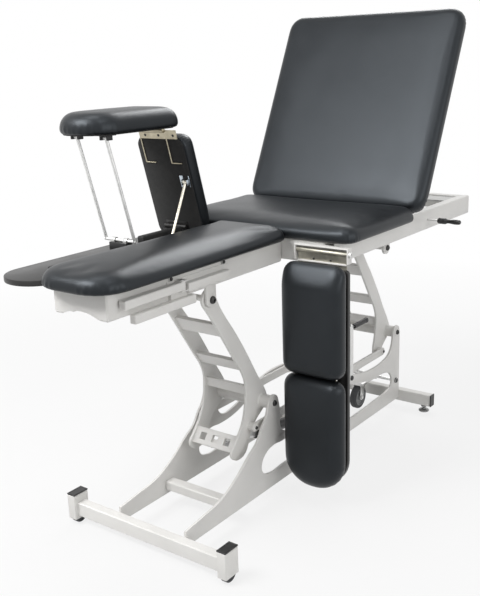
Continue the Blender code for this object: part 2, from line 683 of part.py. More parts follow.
def build_castor():
    carriage = empty("castor_lift_axis", (CASTOR_AXLE[0], 0.0, CASTOR_AXLE[1]), ROOT)
    swivel_x = CASTOR_SWIVEL_X - CASTOR_AXLE[0]
    hub_half = 0.045
    hub = cross_rod((0.0, 0.0), -hub_half, hub_half, 0.0115)
    top = box((swivel_x - 0.034, -0.034, -0.0135), (-0.004, 0.034, -0.0065))
    axle = headed_pin(PLATE_OUTER_Y, CASTOR_AXLE_R, 0.010, 0.005)
    part("castor_carriage", fused(hub, top, axle), ZINC, carriage)
    swivel = empty("castor_swivel_axis", (swivel_x, 0.0, 0.0), carriage)
    wheel_z = CASTOR_R + CASTOR_LIFT - CASTOR_AXLE[1]
    crown_z = -0.0135 - CLEAR
    leg_in, leg_out = CASTOR_WIDTH / 2 + 0.0015, CASTOR_WIDTH / 2 + 0.0045
    disc = moved(turned([(0.0, crown_z), (0.026, crown_z), (0.026, crown_z - 0.006), (0.0, crown_z - 0.006)]))
    bridge_y = leg_out - 0.001
    bridge = box((-0.024, -bridge_y, crown_z - 0.009), (0.018, bridge_y, crown_z - 0.004))
    shapes = [disc, bridge]
    for side in SIDES.values():
        low, high = span(side, leg_in, leg_out)
        ends = around((-CASTOR_TRAIL, wheel_z), 0.011, 180.0, 360.0, 7)
        outline = [(0.016, crown_z - 0.005), (-0.022, crown_z - 0.005)] + ends
        shapes.append(profile_plate([outline], low, high, smooth=False))
    axle_r = 0.005
    shapes.append(cross_rod((-CASTOR_TRAIL, wheel_z), -leg_out - 0.003, leg_out + 0.003, axle_r))
    part("castor_fork", fused(*shapes), ZINC, swivel)
    spin = empty("castor_wheel_axis", (-CASTOR_TRAIL, 0.0, wheel_z), swivel)
    face = CASTOR_WIDTH / 2
    bore = axle_r + CLEAR
    rim = [(bore, face + 0.001), (0.012, face + 0.001), (0.014, face - 0.003), (CASTOR_R * 0.72, face - 0.003),
           (CASTOR_R * 0.80, face), (CASTOR_R - 0.004, face), (CASTOR_R, face - 0.005)]
    profile = rim + [(radius, -height) for radius, height in reversed(rim)]
    part("castor_wheel", moved(turned_ring(profile, 18), turn=LIE_ALONG_Y), GREY, spin)


def build_castor_lever():
    # A hand lever on the near plate's outer face, with its grip towards the head end.
    pivot = empty("castor_lever_axis", (LEVER_PIVOT[0], 0.0, LEVER_PIVOT[1]), ROOT)
    outer, inner = -PLATE_OUTER_Y - CLEAR - 0.006, -PLATE_OUTER_Y - CLEAR
    bar_half = 0.011
    ends = around((0.0, 0.0), bar_half, 180.0, 360.0, 7) + around((0.0, LEVER_HEIGHT), bar_half, 0.0, 180.0, 7)
    bar = profile_plate([ends], outer, inner, smooth=False)
    bolt = cross_rod((0.0, 0.0), outer - 0.005, outer + 0.003, 0.009)
    middle = (outer + inner) / 2
    stub_end = bar_half + 0.010
    stub = rod((0.0, middle, LEVER_HEIGHT), (stub_end, middle, LEVER_HEIGHT), 0.003)
    profile = [(0.0, LEVER_GRIP), (LEVER_GRIP_R * 0.7, LEVER_GRIP), (LEVER_GRIP_R, LEVER_GRIP - 0.004),
               (LEVER_GRIP_R, LEVER_GRIP - 0.012), (LEVER_GRIP_R * 0.85, LEVER_GRIP - 0.018),
               (LEVER_GRIP_R * 0.85, stub_end - 0.004), (0.0, stub_end - 0.004)]
    along_x = Matrix.Rotation(math.radians(90.0), 4, "Y")
    grip = moved(turned(profile), (0.0, middle, LEVER_HEIGHT), along_x)
    part("castor_lever", fused(bar, bolt, stub, grip), BLACK, pivot)


def build_leg_channel(deck, top_pivot):
    end_x = RAIL_FOOT_X - CLEAR
    top = DECK_Z - CLEAR
    bottom = top - CHANNEL_DEPTH
    half, wall = CHANNEL_HALF_WIDTH, CHANNEL_WALL
    shell = box((CHANNEL_FOOT_X, -half, bottom), (end_x, half, top), 0.004)
    inside = box((CHANNEL_FOOT_X + wall, -half + wall, bottom - wall), (end_x - wall, half - wall, top - wall))
    arch_half = half * 0.72
    arch_r = (arch_half ** 2 + CHANNEL_ARCH ** 2) / (2 * CHANNEL_ARCH)
    arch = rod((CHANNEL_FOOT_X - 0.01, 0.0, bottom + CHANNEL_ARCH - arch_r),
               (CHANNEL_FOOT_X + wall * 2, 0.0, bottom + CHANNEL_ARCH - arch_r), arch_r, 96)
    channel = cut(shell, inside, arch)
    lugs = []
    for side in SIDES.values():
        low, high = span(side, half - LUG_THICK, half)
        ends = around(top_pivot, 0.021, 180.0, 360.0, 9)
        outline = [(top_pivot[0] + 0.021, bottom + 0.006), (top_pivot[0] - 0.021, bottom + 0.006)] + ends
        lugs.append(profile_plate([outline], low, high, smooth=False))
        lugs.append(support_bracket(side))
    bore = cross_rod(top_pivot, -half - 0.01, half + 0.01, TOP_PIN_R + CLEAR)
    part("leg_channel", cut(fused(channel, *lugs), bore), WHITE, deck)
    pivot_pin("front_top_pin", top_pivot, half, TOP_PIN_R, 0.014, 0.008, deck)


def build_seat_frame(deck, head_pivot):
    top = DECK_Z - CLEAR
    bottom = top - RAIL_DEPTH
    rail_inner = RAIL_OUTER_Y - RAIL_WIDTH
    cross_half = rail_inner - CLEAR
    for name, side in SIDES.items():
        low, high = span(side, rail_inner, RAIL_OUTER_Y)
        rail = hollow_bar((RAIL_FOOT_X, low, bottom), (RAIL_HEAD_X, high, top), 0)
        part(f"side_rail_{name}", rail, WHITE, deck)
    foot = hollow_bar((RAIL_FOOT_X, -cross_half, bottom), (RAIL_FOOT_X + CROSS_WIDTH, cross_half, top), 1)
    part("foot_crossmember", foot, WHITE, deck)
    head_low = RAIL_HEAD_X - CROSS_WIDTH
    head = hollow_bar((head_low, -cross_half, bottom + 0.017), (RAIL_HEAD_X, cross_half, top), 1)
    part("head_crossmember", head, WHITE, deck)
    # Pivot member: lugs below carry the head arm's shaft, lugs above the backrest's hinge pins.
    member_top = DECK_Z - 0.006
    member_bottom = DECK_Z - 0.057
    middle = hollow_bar((head_pivot[0] - CROSS_WIDTH / 2, -cross_half, member_bottom),
                        (head_pivot[0] + CROSS_WIDTH / 2, cross_half, member_top), 1)
    shapes = [middle]
    lug_r = 0.022
    for side in SIDES.values():
        low, high = span(side, 0.196, 0.196 + LUG_THICK)
        ends = around(head_pivot, lug_r, 180.0, 360.0, 9)
        outline = [(head_pivot[0] + lug_r * 0.8, member_bottom + 0.002),
                   (head_pivot[0] - lug_r * 0.8, member_bottom + 0.002)] + ends
        shapes.append(profile_plate([outline], low, high, smooth=False))
        for inner in BACK_LUGS:
            low, high = span(side, inner, inner + BACK_LUG)
            ends = around(BACK_HINGE, 0.011, 0.0, 180.0, 7)
            outline = [(BACK_HINGE[0] - 0.011, member_top - 0.002), (BACK_HINGE[0] + 0.011, member_top - 0.002)]
            shapes.append(profile_plate([outline + ends], low, high, smooth=False))
        pin = span(side, BACK_LUGS[0] + BACK_LUG / 2, BACK_LUGS[1] + BACK_LUG / 2)
        shapes.append(cross_rod(BACK_HINGE, *pin, BACK_PIN_R))
    bore = cross_rod(head_pivot, -0.3, 0.3, TOP_PIN_R + CLEAR)
    part("pivot_crossmember", cut(fused(*shapes), bore), WHITE, deck)
    pivot_pin("head_top_shaft", head_pivot, 0.196 + LUG_THICK, TOP_PIN_R, 0.014, 0.009, deck)
    cover_low = RAIL_HEAD_X - CROSS_WIDTH - 0.094
    cover = box((cover_low, -cross_half, top - 0.010), (head_low - CLEAR, cross_half, top - 0.004))
    part("head_cover", cover, COVER, deck)
    # Toothed rack that the backrest's prop runs along, between the pivot member and the head member.
    rack_low = head_pivot[0] + CROSS_WIDTH / 2 + CLEAR
    rack_top = BACK_HINGE[1] - BACK_PROP_DROP - BACK_PROP_R - 0.005
    rack = box((rack_low, -0.022, rack_top - 0.016), (head_low - CLEAR, 0.022, rack_top))
    part("prop_rack", rack, ZINC, deck)


BACK_LUG = 0.006
BACK_LUGS = (0.186, 0.236)


def build_deck_pads(deck):
    low = (SEAT_FOOT_X, -TABLE_HALF_WIDTH)
    high = (SEAT_HEAD_X, TABLE_HALF_WIDTH)
    lip = 0.008
    base = board((low[0] + lip, low[1] + lip), (high[0] - lip, high[1] - lip), DECK_Z, SEAT_BOARD,
                 [SEAT_CORNER - lip] * 4)
    part("seat_board", base, BOARD, deck)
    foam = cushion(low, high, DECK_Z + SEAT_BOARD + CLEAR, SEAT_FOAM, [SEAT_CORNER] * 4, 0.3)
    part("seat_cushion", foam, VINYL, deck)
    low = (LEG_TIP_X, -LEG_HALF_WIDTH)
    high = (SEAT_FOOT_X - LEG_SEAT_GAP, LEG_HALF_WIDTH)
    corners = [LEG_CORNER, LEG_CORNER / 3, LEG_CORNER / 3, LEG_CORNER]
    part("leg_cushion", cushion(low, high, DECK_Z, LEG_FOAM, corners), VINYL, deck)


def build_backrest(back, prop):
    # Built lying flat, from the hinge towards the head end.
    board_top = DECK_Z + CLEAR + BACK_BOARD - BACK_HINGE[1]
    board_low = board_top - BACK_BOARD
    lip = 0.008
    low, high = (0.0, -TABLE_HALF_WIDTH), (BACK_LENGTH, TABLE_HALF_WIDTH)
    panel_low = BACK_KNUCKLE_R + 0.003
    panel = board((panel_low, low[1] + lip), (high[0] - lip, high[1] - lip), board_low, BACK_BOARD,
                  [BACK_CORNER / 2, BACK_CORNER - lip, BACK_CORNER - lip, BACK_CORNER / 2])
    part("backrest_board", panel, BOARD, back)
    foam = cushion(low, high, board_top + CLEAR, BACK_FOAM, [BACK_CORNER] * 4, 0.3)
    # The hinge knuckles' bores stay clear of the foam's underside at its hinge end.
    relief = box((-0.01, -TABLE_HALF_WIDTH - 0.01, -BACK_KNUCKLE_R - 0.001),
                 (BACK_KNUCKLE_R + 0.002, TABLE_HALF_WIDTH + 0.01, BACK_KNUCKLE_R + 0.001))
    part("backrest_cushion", cut(foam, relief), VINYL, back)
    leaf_top = board_low - CLEAR
    knuckle_end = BACK_LUGS[1] - CLEAR
    shapes = [box((0.022, -knuckle_end, leaf_top - LEAF_THICK), (0.075, knuckle_end, leaf_top))]
    for side in SIDES.values():
        low_y, high_y = span(side, BACK_LUGS[0] + BACK_LUG + CLEAR, knuckle_end)
        shapes.append(cross_rod((0.0, 0.0), low_y, high_y, BACK_KNUCKLE_R))
        shapes.append(box((0.002, low_y, leaf_top - LEAF_THICK), (0.030, high_y, leaf_top)))
        shapes.append(box((0.002, low_y, leaf_top - LEAF_THICK), (0.008, high_y, -0.003)))
    bore = cross_rod((0.0, 0.0), -0.3, 0.3, BACK_PIN_R + CLEAR)
    part("back_hinge", cut(fused(*shapes), bore), ZINC, back)
    # Prop: hung from a block under the board, its foot running on the rack.
    reach, drop = BACK_PROP_REACH, BACK_PROP_DROP
    cheeks = []
    for side in SIDES.values():
        cheeks.append(mirrored_box(side, (reach - 0.016, 0.0133, -drop - 0.010), (reach + 0.016, 0.0183, leaf_top)))
    plate = box((reach - 0.024, -0.024, leaf_top - LEAF_THICK), (reach + 0.024, 0.024, leaf_top))
    pin = cross_rod((reach, -drop), -0.016, 0.016, 0.005)
    part("back_prop_bracket", fused(plate, *cheeks, pin), ZINC, back)
    # In its own frame the prop points to +X, folded against the board.
    length = BACK_PROP_REACH + BACK_PROP_DROP * 0.625
    eye = cross_rod((0.0, 0.0), -0.0125, 0.0125, 0.010)
    strut = rod((0.004, 0.0, 0.0), (length, 0.0, 0.0), 0.007)
    foot = cross_rod((length, 0.0), -0.030, 0.030, BACK_PROP_R)
    bore = cross_rod((0.0, 0.0), -0.05, 0.05, 0.005 + CLEAR)
    part("back_prop", cut(fused(eye, strut, foot), bore), ZINC, prop)


def build_release_lever(deck):
    # Its root is a ball against the rail, so that it can tip without touching it.
    ball = 0.004
    lever = empty("release_axis", (RELEASE_X, -RAIL_OUTER_Y - CLEAR - ball, RELEASE_Z), deck)
    reach = RELEASE_REACH - RAIL_OUTER_Y - CLEAR - ball
    hub = 0.038
    profile = [(0.0, reach), (0.006, reach), (0.0075, reach - 0.003), (0.0085, reach - 0.030), (0.007, hub + 0.034),
               (0.0105, hub + 0.028), (0.0105, hub + 0.006), (0.008, hub), (ball, hub), (ball, 0.0),
               (ball * 0.7, -ball * 0.7), (0.0, -ball)]
    part("release_lever", moved(turned(profile), turn=LIE_ALONG_Y), BLACK, lever)


def support_bracket(side):
    # The fixed bars welded to the channel's side, with the ears and pin of the swinging support.
    wall = CHANNEL_HALF_WIDTH - 0.001
    ear_out = SUPPORT_INNER_Y + SUPPORT_WIDTH + 0.001
    ear = 0.0025
    strip = mirrored_box(side, (0.030, wall, SUPPORT_BOTTOM_Z - 0.006), (0.290, wall + 0.0035, DECK_Z - 0.022))
    low_ear = mirrored_box(side, (SUPPORT_PIVOT_X - 0.014, wall, SUPPORT_BOTTOM_Z - CLEAR - ear),
                           (SUPPORT_PIVOT_X + 0.014, ear_out, SUPPORT_BOTTOM_Z - CLEAR))
    high_ear = mirrored_box(side, (SUPPORT_PIVOT_X - 0.014, wall, SUPPORT_TOP_Z + CLEAR),
                            (SUPPORT_PIVOT_X + 0.014, ear_out, SUPPORT_TOP_Z + CLEAR + ear))
    middle = side * (SUPPORT_INNER_Y + SUPPORT_WIDTH / 2)
    pin = rod((SUPPORT_PIVOT_X, middle, SUPPORT_BOTTOM_Z - 0.0015),
              (SUPPORT_PIVOT_X, middle, SUPPORT_TOP_Z + 0.0015), SUPPORT_PIN_R)
    rest_bar = mirrored_box(side, (0.092, wall, SUPPORT_BOTTOM_Z - 0.010),
                            (0.272, 0.118, SUPPORT_BOTTOM_Z + 0.014), 0.002)
    stay_top = SUPPORT_BOTTOM_Z - 0.020
    stay = mirrored_box(side, (-0.118, 0.1005, stay_top - 0.0235), (0.118, 0.1205, stay_top), 0.002)
    web = mirrored_box(side, (0.034, wall, stay_top - 0.017), (0.098, 0.1045, SUPPORT_BOTTOM_Z - 0.002))
    return fused(strip, low_ear, high_ear, pin, rest_bar, stay, web)


def build_supports(deck):
    # Bars that swing out from the channel to carry a raised leg section.
    for name, side in SIDES.items():
        middle = side * (SUPPORT_INNER_Y + SUPPORT_WIDTH / 2)
        swing = empty(f"support_axis_{name}", (SUPPORT_PIVOT_X, middle, 0.0), deck)
        half = SUPPORT_WIDTH / 2
        length = box((-SUPPORT_LENGTH, -half, SUPPORT_BOTTOM_Z), (0.0, half, SUPPORT_TOP_Z), 0.002)
        round_end = rod((0.0, 0.0, SUPPORT_BOTTOM_Z), (0.0, 0.0, SUPPORT_TOP_Z), half - 0.0002)
        bar = fused(length, round_end)
        bore = rod((0.0, 0.0, SUPPORT_BOTTOM_Z - 0.01), (0.0, 0.0, SUPPORT_TOP_Z + 0.01), SUPPORT_PIN_R + CLEAR)
        part(f"support_arm_{name}", cut(bar, bore), WHITE, swing)


def build_leg_bracket(name, side, deck):
    # A box open to the foot, whose cheeks hold the section's hinge barrel between them.
    low = (BRACKET_FOOT_X, BRACKET_INNER_Y, BRACKET_BOTTOM_Z)
    high = (RAIL_FOOT_X - CLEAR, BRACKET_OUTER_Y, BRACKET_TOP_Z)
    wall = BRACKET_WALL
    shell = mirrored_box(side, low, high)
    front = mirrored_box(side, (low[0] - wall, low[1] + wall, low[2] + wall),
                         (high[0] - wall, high[1] - wall, high[2] - wall))
    below = mirrored_box(side, (low[0] - wall, low[1] + wall, low[2] - wall),
                         (LEG_HINGE[0] + 0.0075, high[1] - wall, low[2] + 2 * wall))
    bracket = cut(shell, front, below)
    bolt_low, bolt_high = span(side, high[1] - wall / 2, high[1] + 0.004)
    part(f"leg_bracket_{name}", fused(bracket, cross_rod(LEG_HINGE, bolt_low, bolt_high, 0.008)), WHITE, deck)


def pad_block(side, low_x, high_x, low_z, high_z, half=PAD_BARREL_HALF):
    # A block across the middle of a section, under or over one of its hinge lines.
    return mirrored_box(side, (low_x, ROD_Y - half, low_z), (high_x, ROD_Y + half, high_z))


def build_leg_section(name, side, section, thigh, calf, rods, prop):
    # Built level, from the section's hinge towards the foot.
    inner, outer = span(side, LEG_INNER_Y, LEG_OUTER_Y)
    tip_r = (LEG_OUTER_Y - LEG_INNER_Y) / 2 - 0.0005
    plank = board((-LEG_LENGTH, inner), (-LEG_BOARD_START, outer), 0.0, LEG_BOARD,
                  [tip_r, 0.012, 0.012, tip_r])
    # Blocks that carry the thigh hinge and the calf rods' foot bar.
    sunk = LEG_BOARD - 0.001
    barrel_low = PAD_HINGE_Z - PAD_BARREL_R - CLEAR
    thigh_x = -THIGH_START
    foot_x = thigh_x - ROD_FOOT
    rod_low = PAD_HINGE_Z - ROD_R - CLEAR
    plank = fused(plank, pad_block(side, thigh_x - 0.012, thigh_x + 0.010, sunk, barrel_low),
                  pad_block(side, foot_x - 0.014, foot_x + 0.014, sunk, rod_low, 0.035))
    part(f"leg_board_{name}", plank, BOARD, section)
    barrel_low, barrel_high = span(side, BRACKET_INNER_Y + BRACKET_WALL + CLEAR,
                                   BRACKET_OUTER_Y - BRACKET_WALL - CLEAR)
    barrel = cross_rod((0.0, 0.0), barrel_low, barrel_high, LEG_PIN_R)
    leaf_low, leaf_high = span(side, BRACKET_INNER_Y + 0.008, BRACKET_OUTER_Y - 0.008)
    leaf = box((-LEG_BOARD_START - 0.055, leaf_low, -CLEAR - LEAF_THICK), (0.0, leaf_high, -CLEAR))
    part(f"leg_hinge_{name}", fused(barrel, leaf), ZINC, section)
    # Thigh pad: its board lies above the hinge line, with the hinge barrel welded under it.
    pad_in, pad_out = span(side, PAD_INNER_Y, LEG_OUTER_Y)
    lip = 0.004
    knee = -THIGH_LENGTH
    end = knee + PAD_SPLIT
    panel = board((end + lip, pad_in + lip), (THIGH_OVERHANG - 0.020, pad_out - lip), PAD_LIFT, PAD_BOARD,
                  [0.020] * 4)
    foam = cushion((end, pad_in), (THIGH_OVERHANG, pad_out), PAD_LIFT + PAD_BOARD - 0.001, THIGH_FOAM,
                   [0.035] * 4)
    barrel_y = span(side, ROD_Y - PAD_BARREL_HALF, ROD_Y + PAD_BARREL_HALF)
    barrel = cross_rod((0.0, 0.0), *barrel_y, PAD_BARREL_R, 14)
    web = pad_block(side, -0.005, 0.005, 0.0, PAD_LIFT + 0.001, PAD_BARREL_HALF - 0.001)
    part(f"thigh_pad_{name}", fused(panel, foam, barrel, web), VINYL, thigh)
    # Knee hinge: a plate with three holes, its barrel, and two bent wire hooks under the thigh board.
    under = PAD_LIFT - CLEAR
    leaf_low, leaf_high = span(side, PAD_INNER_Y + 0.010, LEG_OUTER_Y - 0.018)
    leaf = box((knee + 0.002, leaf_low, under - LEAF_THICK), (knee + 0.030, leaf_high, under))
    holes = []
    for offset in (0.024, 0.082, 0.136):
        place = side * (PAD_INNER_Y + offset)
        holes.append(rod((knee + 0.019, place, 0.0), (knee + 0.019, place, under + 0.01), 0.0045, 12))
    hinge = [cut(leaf, *holes), cross_rod((knee, 0.0), *barrel_y, PAD_BARREL_R, 14)]
    hinge.append(pad_block(side, knee, knee + 0.006, 0.0, under - 0.0005, PAD_BARREL_HALF - 0.001))
    hook_r = 0.002
    hook_z = under - hook_r - 0.0002
    for offset in (0.0205, 0.125):
        place = LEG_OUTER_Y - offset
        corner = (knee + 0.108, side * place, hook_z)
        hinge.append(rod((knee + 0.024, side * place, hook_z), corner, hook_r, 10))
        hinge.append(rod(corner, (corner[0], side * (place - 0.040), hook_z), hook_r * 0.98, 10))
    part(f"knee_hinge_{name}", fused(*hinge), ZINC, thigh)
    # Calf pad: from the knee to the section's tip, with strips over the knee barrel and the rods' bar.
    pad_tip = (LEG_OUTER_Y - PAD_INNER_Y) / 2 - 0.0005
    panel = board((lip - CALF_REACH, pad_in + lip), (CALF_START - lip, pad_out - lip), PAD_LIFT, PAD_BOARD,
                  [pad_tip - lip, 0.020, 0.020, pad_tip - lip])
    foam = cushion((-CALF_REACH, pad_in), (CALF_START, pad_out), PAD_LIFT + PAD_BOARD - 0.001, CALF_FOAM,
                   [pad_tip, 0.035, 0.035, pad_tip])
    knee_strip = pad_block(side, -0.014, -0.001, PAD_BARREL_R + CLEAR, PAD_LIFT + 0.001)
    rod_strip = pad_block(side, -ROD_FOOT - 0.020, -ROD_FOOT + 0.020, ROD_R + CLEAR, PAD_LIFT + 0.001, 0.070)
    part(f"calf_pad_{name}", fused(panel, foam, knee_strip, rod_strip), VINYL, calf)
    # Two rods that carry the calf pad, joined by a bar at each end.
    middle = side * ROD_Y
    start, end = middle - ROD_SPREAD - 0.006, middle + ROD_SPREAD + 0.006
    shapes = [cross_rod((0.0, 0.0), start, end, ROD_R, 12), cross_rod((-THIGH_LENGTH, 0.0), start, end, ROD_R, 12)]
    for offset in (-ROD_SPREAD, ROD_SPREAD):
        shapes.append(rod((0.0, middle + offset, 0.0), (-THIGH_LENGTH, middle + offset, 0.0), ROD_R * 0.97, 12))
    part(f"calf_rods_{name}", fused(*shapes), ZINC, rods)
    # Prop under the thigh pad, its foot sliding along the base board.
    centre = side * PROP_Y
    knuckle = cross_rod((0.0, 0.0), centre - 0.010, centre + 0.010, PROP_KNUCKLE_R)
    strut = rod((0.0, centre, 0.0), (-PROP_LENGTH, centre, 0.0), PROP_R, 12)
    foot = cross_rod((-PROP_LENGTH, 0.0), centre - 0.008, centre + 0.008, 0.005)
    part(f"thigh_prop_{name}", fused(knuckle, strut, foot), ZINC, prop)


def build_leg_sections(deck):
    drop = {"near": -math.radians(90.0), "far": 0.0}
    raise_by = {"near": 0.0, "far": THIGH_RAISE}
    for name, side in SIDES.items():
        build_leg_bracket(name, side, deck)
        angle = raise_by[name]
        section = empty(f"leg_axis_{name}", (LEG_HINGE[0], 0.0, LEG_HINGE[1]), deck, drop[name])
        thigh = empty(f"thigh_axis_{name}", (-THIGH_START, 0.0, PAD_HINGE_Z), section, angle)
        calf = empty(f"knee_axis_{name}", (-THIGH_LENGTH, 0.0, 0.0), thigh, -angle)
        rods = empty(f"rod_axis_{name}", (-THIGH_START - ROD_FOOT, 0.0, PAD_HINGE_Z), section, angle)
        # The prop hangs a little when folded and falls as the thigh pad rises.
        share = angle / THIGH_RAISE
        fall = -angle - PROP_FOLDED - share * (PROP_RAISED - PROP_FOLDED)
        prop_z = PAD_LIFT - CLEAR - PROP_KNUCKLE_R
        prop = empty(f"prop_axis_{name}", (-PROP_REACH, 0.0, prop_z), thigh, fall)
        build_leg_section(name, side, section, thigh, calf, rods, prop)


def build():
    build_base_plates()
    build_foot_end()
    build_head_end()
    build_base_ties()
    pivot_pin("foot_pivot_pin", PIVOT_FOOT, PLATE_OUTER_Y, PIN_R, PIN_HEAD_R, PIN_HEAD, ROOT)
    pivot_pin("head_pivot_pin", PIVOT_HEAD, PLATE_OUTER_Y, PIN_R, PIN_HEAD_R, PIN_HEAD, ROOT)
    foot_arm = empty("foot_arm_axis", (PIVOT_FOOT[0], 0.0, PIVOT_FOOT[1]), ROOT)
    build_arm("foot_arm", foot_arm, LONG_TAIL, True)
    head_arm = empty("head_arm_axis", (PIVOT_HEAD[0], 0.0, PIVOT_HEAD[1]), ROOT)
    build_arm("head_arm", head_arm, SHORT_TAIL, False)
    link = empty("tie_link_axis", (ARM_LINK[0], 0.0, ARM_LINK[1]), foot_arm)
    build_links(link)
    tail = Vector(PIVOT_FOOT) + Vector(ARM_TAIL) - Vector(MOTOR_PIVOT)
    slope = math.atan2(tail.y, -tail.x)
    actuator = empty("actuator_axis", (MOTOR_PIVOT[0], 0.0, MOTOR_PIVOT[1]), ROOT, slope)
    rod_slide = empty("actuator_slide", (0.0, 0.0, 0.0), actuator)
    build_actuator(actuator, rod_slide)
    build_castor()
    build_castor_lever()
    # The deck's empty sits on the arm's top pivot, and its pieces are placed in the shop frame again.
    top = (PIVOT_FOOT[0] + ARM_TOP[0], PIVOT_FOOT[1] + ARM_TOP[1])
    deck_axis = empty("deck_axis", (ARM_TOP[0], 0.0, ARM_TOP[1]), foot_arm)
    deck = empty("deck", (-top[0], 0.0, -top[1]), deck_axis)
    build_leg_channel(deck, top)
    build_seat_frame(deck, (top[0] + PIVOT_SPACING, top[1]))
    build_deck_pads(deck)
    back = empty("back_axis", (BACK_HINGE[0], 0.0, BACK_HINGE[1]), deck, -BACK_ANGLE)
    prop = empty("back_prop_axis", (BACK_PROP_REACH, 0.0, -BACK_PROP_DROP), back, 2 * BACK_ANGLE)
    build_backrest(back, prop)
    build_release_lever(deck)
    build_supports(deck)
    build_leg_sections(deck)


build()
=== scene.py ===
import math

import bmesh
import bpy
from mathutils import Matrix, Vector


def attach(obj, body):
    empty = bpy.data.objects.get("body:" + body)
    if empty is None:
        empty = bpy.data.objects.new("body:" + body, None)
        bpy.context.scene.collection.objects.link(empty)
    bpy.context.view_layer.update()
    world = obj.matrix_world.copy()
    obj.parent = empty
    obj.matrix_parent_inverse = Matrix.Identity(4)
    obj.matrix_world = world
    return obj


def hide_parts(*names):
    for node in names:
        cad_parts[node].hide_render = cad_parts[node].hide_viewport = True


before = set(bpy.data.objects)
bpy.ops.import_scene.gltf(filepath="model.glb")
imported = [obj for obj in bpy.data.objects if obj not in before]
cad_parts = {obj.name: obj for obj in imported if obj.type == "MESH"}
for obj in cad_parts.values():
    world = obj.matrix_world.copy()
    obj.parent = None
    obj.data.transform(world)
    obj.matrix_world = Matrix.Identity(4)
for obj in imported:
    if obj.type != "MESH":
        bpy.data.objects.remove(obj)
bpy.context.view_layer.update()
scene = bpy.context.scene
print("frame loaded,", len(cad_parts), "nodes")

# Pieces are modelled in the workshop's frame: x from the foot posts to the head end, y across
# the table with the near side negative, z up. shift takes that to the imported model's frame.
shift = Vector((-0.670, 0.031, 0.0))
sides = {"near": -1, "far": 1}
merge = {"turned": 0.00001, "cut": 0.00002}  # how close two points are before they become one


def freshStart():
    if bpy.context.object and bpy.context.object.mode != "OBJECT":
        bpy.ops.object.mode_set(mode="OBJECT")
    bpy.ops.object.select_all(action="DESELECT")


def makeActive(piece):
    freshStart()
    piece.select_set(True)
    bpy.context.view_layer.objects.active = piece


def applyAll(piece):
    makeActive(piece)
    for modifier in list(piece.modifiers):
        bpy.ops.object.modifier_apply(modifier=modifier.name)


def settle(piece):
    makeActive(piece)
    bpy.ops.object.transform_apply(location=True, rotation=True, scale=True)


def cutBlock(name, low, high):
    freshStart()
    middle = [(a + b) / 2 for a, b in zip(low, high)]
    bpy.ops.mesh.primitive_cube_add(size=1, location=middle)
    block = bpy.context.object
    block.name = name
    block.scale = [b - a for a, b in zip(low, high)]
    settle(block)
    return block


def selectIn(piece, kind, choose):
    # opens a piece in edit mode with only the chosen vertices, edges or faces selected
    makeActive(piece)
    bpy.ops.object.mode_set(mode="EDIT")
    bpy.ops.mesh.select_mode(type=kind)
    bpy.ops.mesh.select_all(action="DESELECT")
    mesh = bmesh.from_edit_mesh(piece.data)
    for element in choose(mesh):
        element.select_set(True)
    bmesh.update_edit_mesh(piece.data)


def bevelEdges(piece, width, segments, wanted):
    # rounds the edges whose two ends pass the test
    selectIn(piece, "EDGE", lambda mesh: [e for e in mesh.edges if wanted(e.verts[0].co, e.verts[1].co)])
    bpy.ops.mesh.bevel(offset=width, offset_type="OFFSET", segments=segments, profile=0.5, affect="EDGES")
    bpy.ops.object.mode_set(mode="OBJECT")


def roundUprights(block, low, high, radii, segments, reach):
    # each upright corner has its own radius, counted from the one at low x and low y
    corners = ((low[0], low[1]), (high[0], low[1]), (high[0], high[1]), (low[0], high[1]))
    for (x, y), radius in zip(corners, radii):
        bevelEdges(block, radius, segments, lambda a, b: all(
            abs(p.x - x) < reach and abs(p.y - y) < reach for p in (a, b)))


def closeSeams(piece, threshold, outward=True):
    makeActive(piece)
    bpy.ops.object.mode_set(mode="EDIT")
    bpy.ops.mesh.select_all(action="SELECT")
    bpy.ops.mesh.remove_doubles(threshold=threshold)
    if outward:
        bpy.ops.mesh.normals_make_consistent(inside=False)
    bpy.ops.object.mode_set(mode="OBJECT")
    return piece


def turnOnLathe(name, profile, steps=48, closed=False):
    # profile: (radius, height) points, spun about z in edit mode
    freshStart()
    mesh = bpy.data.meshes.new(name)
    links = [(i, i + 1) for i in range(len(profile) - 1)]
    if closed:
        links.append((len(profile) - 1, 0))
    mesh.from_pydata([(r, 0.0, z) for r, z in profile], links, [])
    piece = bpy.data.objects.new(name, mesh)
    scene.collection.objects.link(piece)
    makeActive(piece)
    bpy.ops.object.mode_set(mode="EDIT")
    bpy.ops.mesh.select_all(action="SELECT")
    bpy.ops.mesh.spin(steps=steps, angle=2 * math.pi, center=(0, 0, 0), axis=(0, 0, 1))
    bpy.ops.object.mode_set(mode="OBJECT")
    return closeSeams(piece, merge["turned"])


def bothEnds(half):
    # a profile that is the same below its middle as above, with a point at the middle kept once
    return half + [(r, -h) for r, h in reversed(half) if h]


def place(piece, at=(0, 0, 0), turn=(0, 0, 0)):
    piece.rotation_euler = [math.radians(a) for a in turn]
    piece.location = at
    settle(piece)
    return piece


def placeBy(piece, matrix):
    piece.data.transform(matrix)
    return piece


def around(centre, radius, start, end, count):
    points = []
    for i in range(count):
        angle = math.radians(start + (end - start) * i / (count - 1))
        points.append((centre[0] + radius * math.cos(angle), centre[1] + radius * math.sin(angle)))
    return points


def ring(centre, radius, count=16):
    return around(centre, radius, 0, 360, count + 1)[:-1]


def meshFromCurve(name, curve):
    piece = bpy.data.objects.new(name, curve)
    scene.collection.objects.link(piece)
    makeActive(piece)
    bpy.ops.object.convert(target="MESH")
    return bpy.context.object


plateCut = {"bevelSteps": 2, "curveSteps": 10}


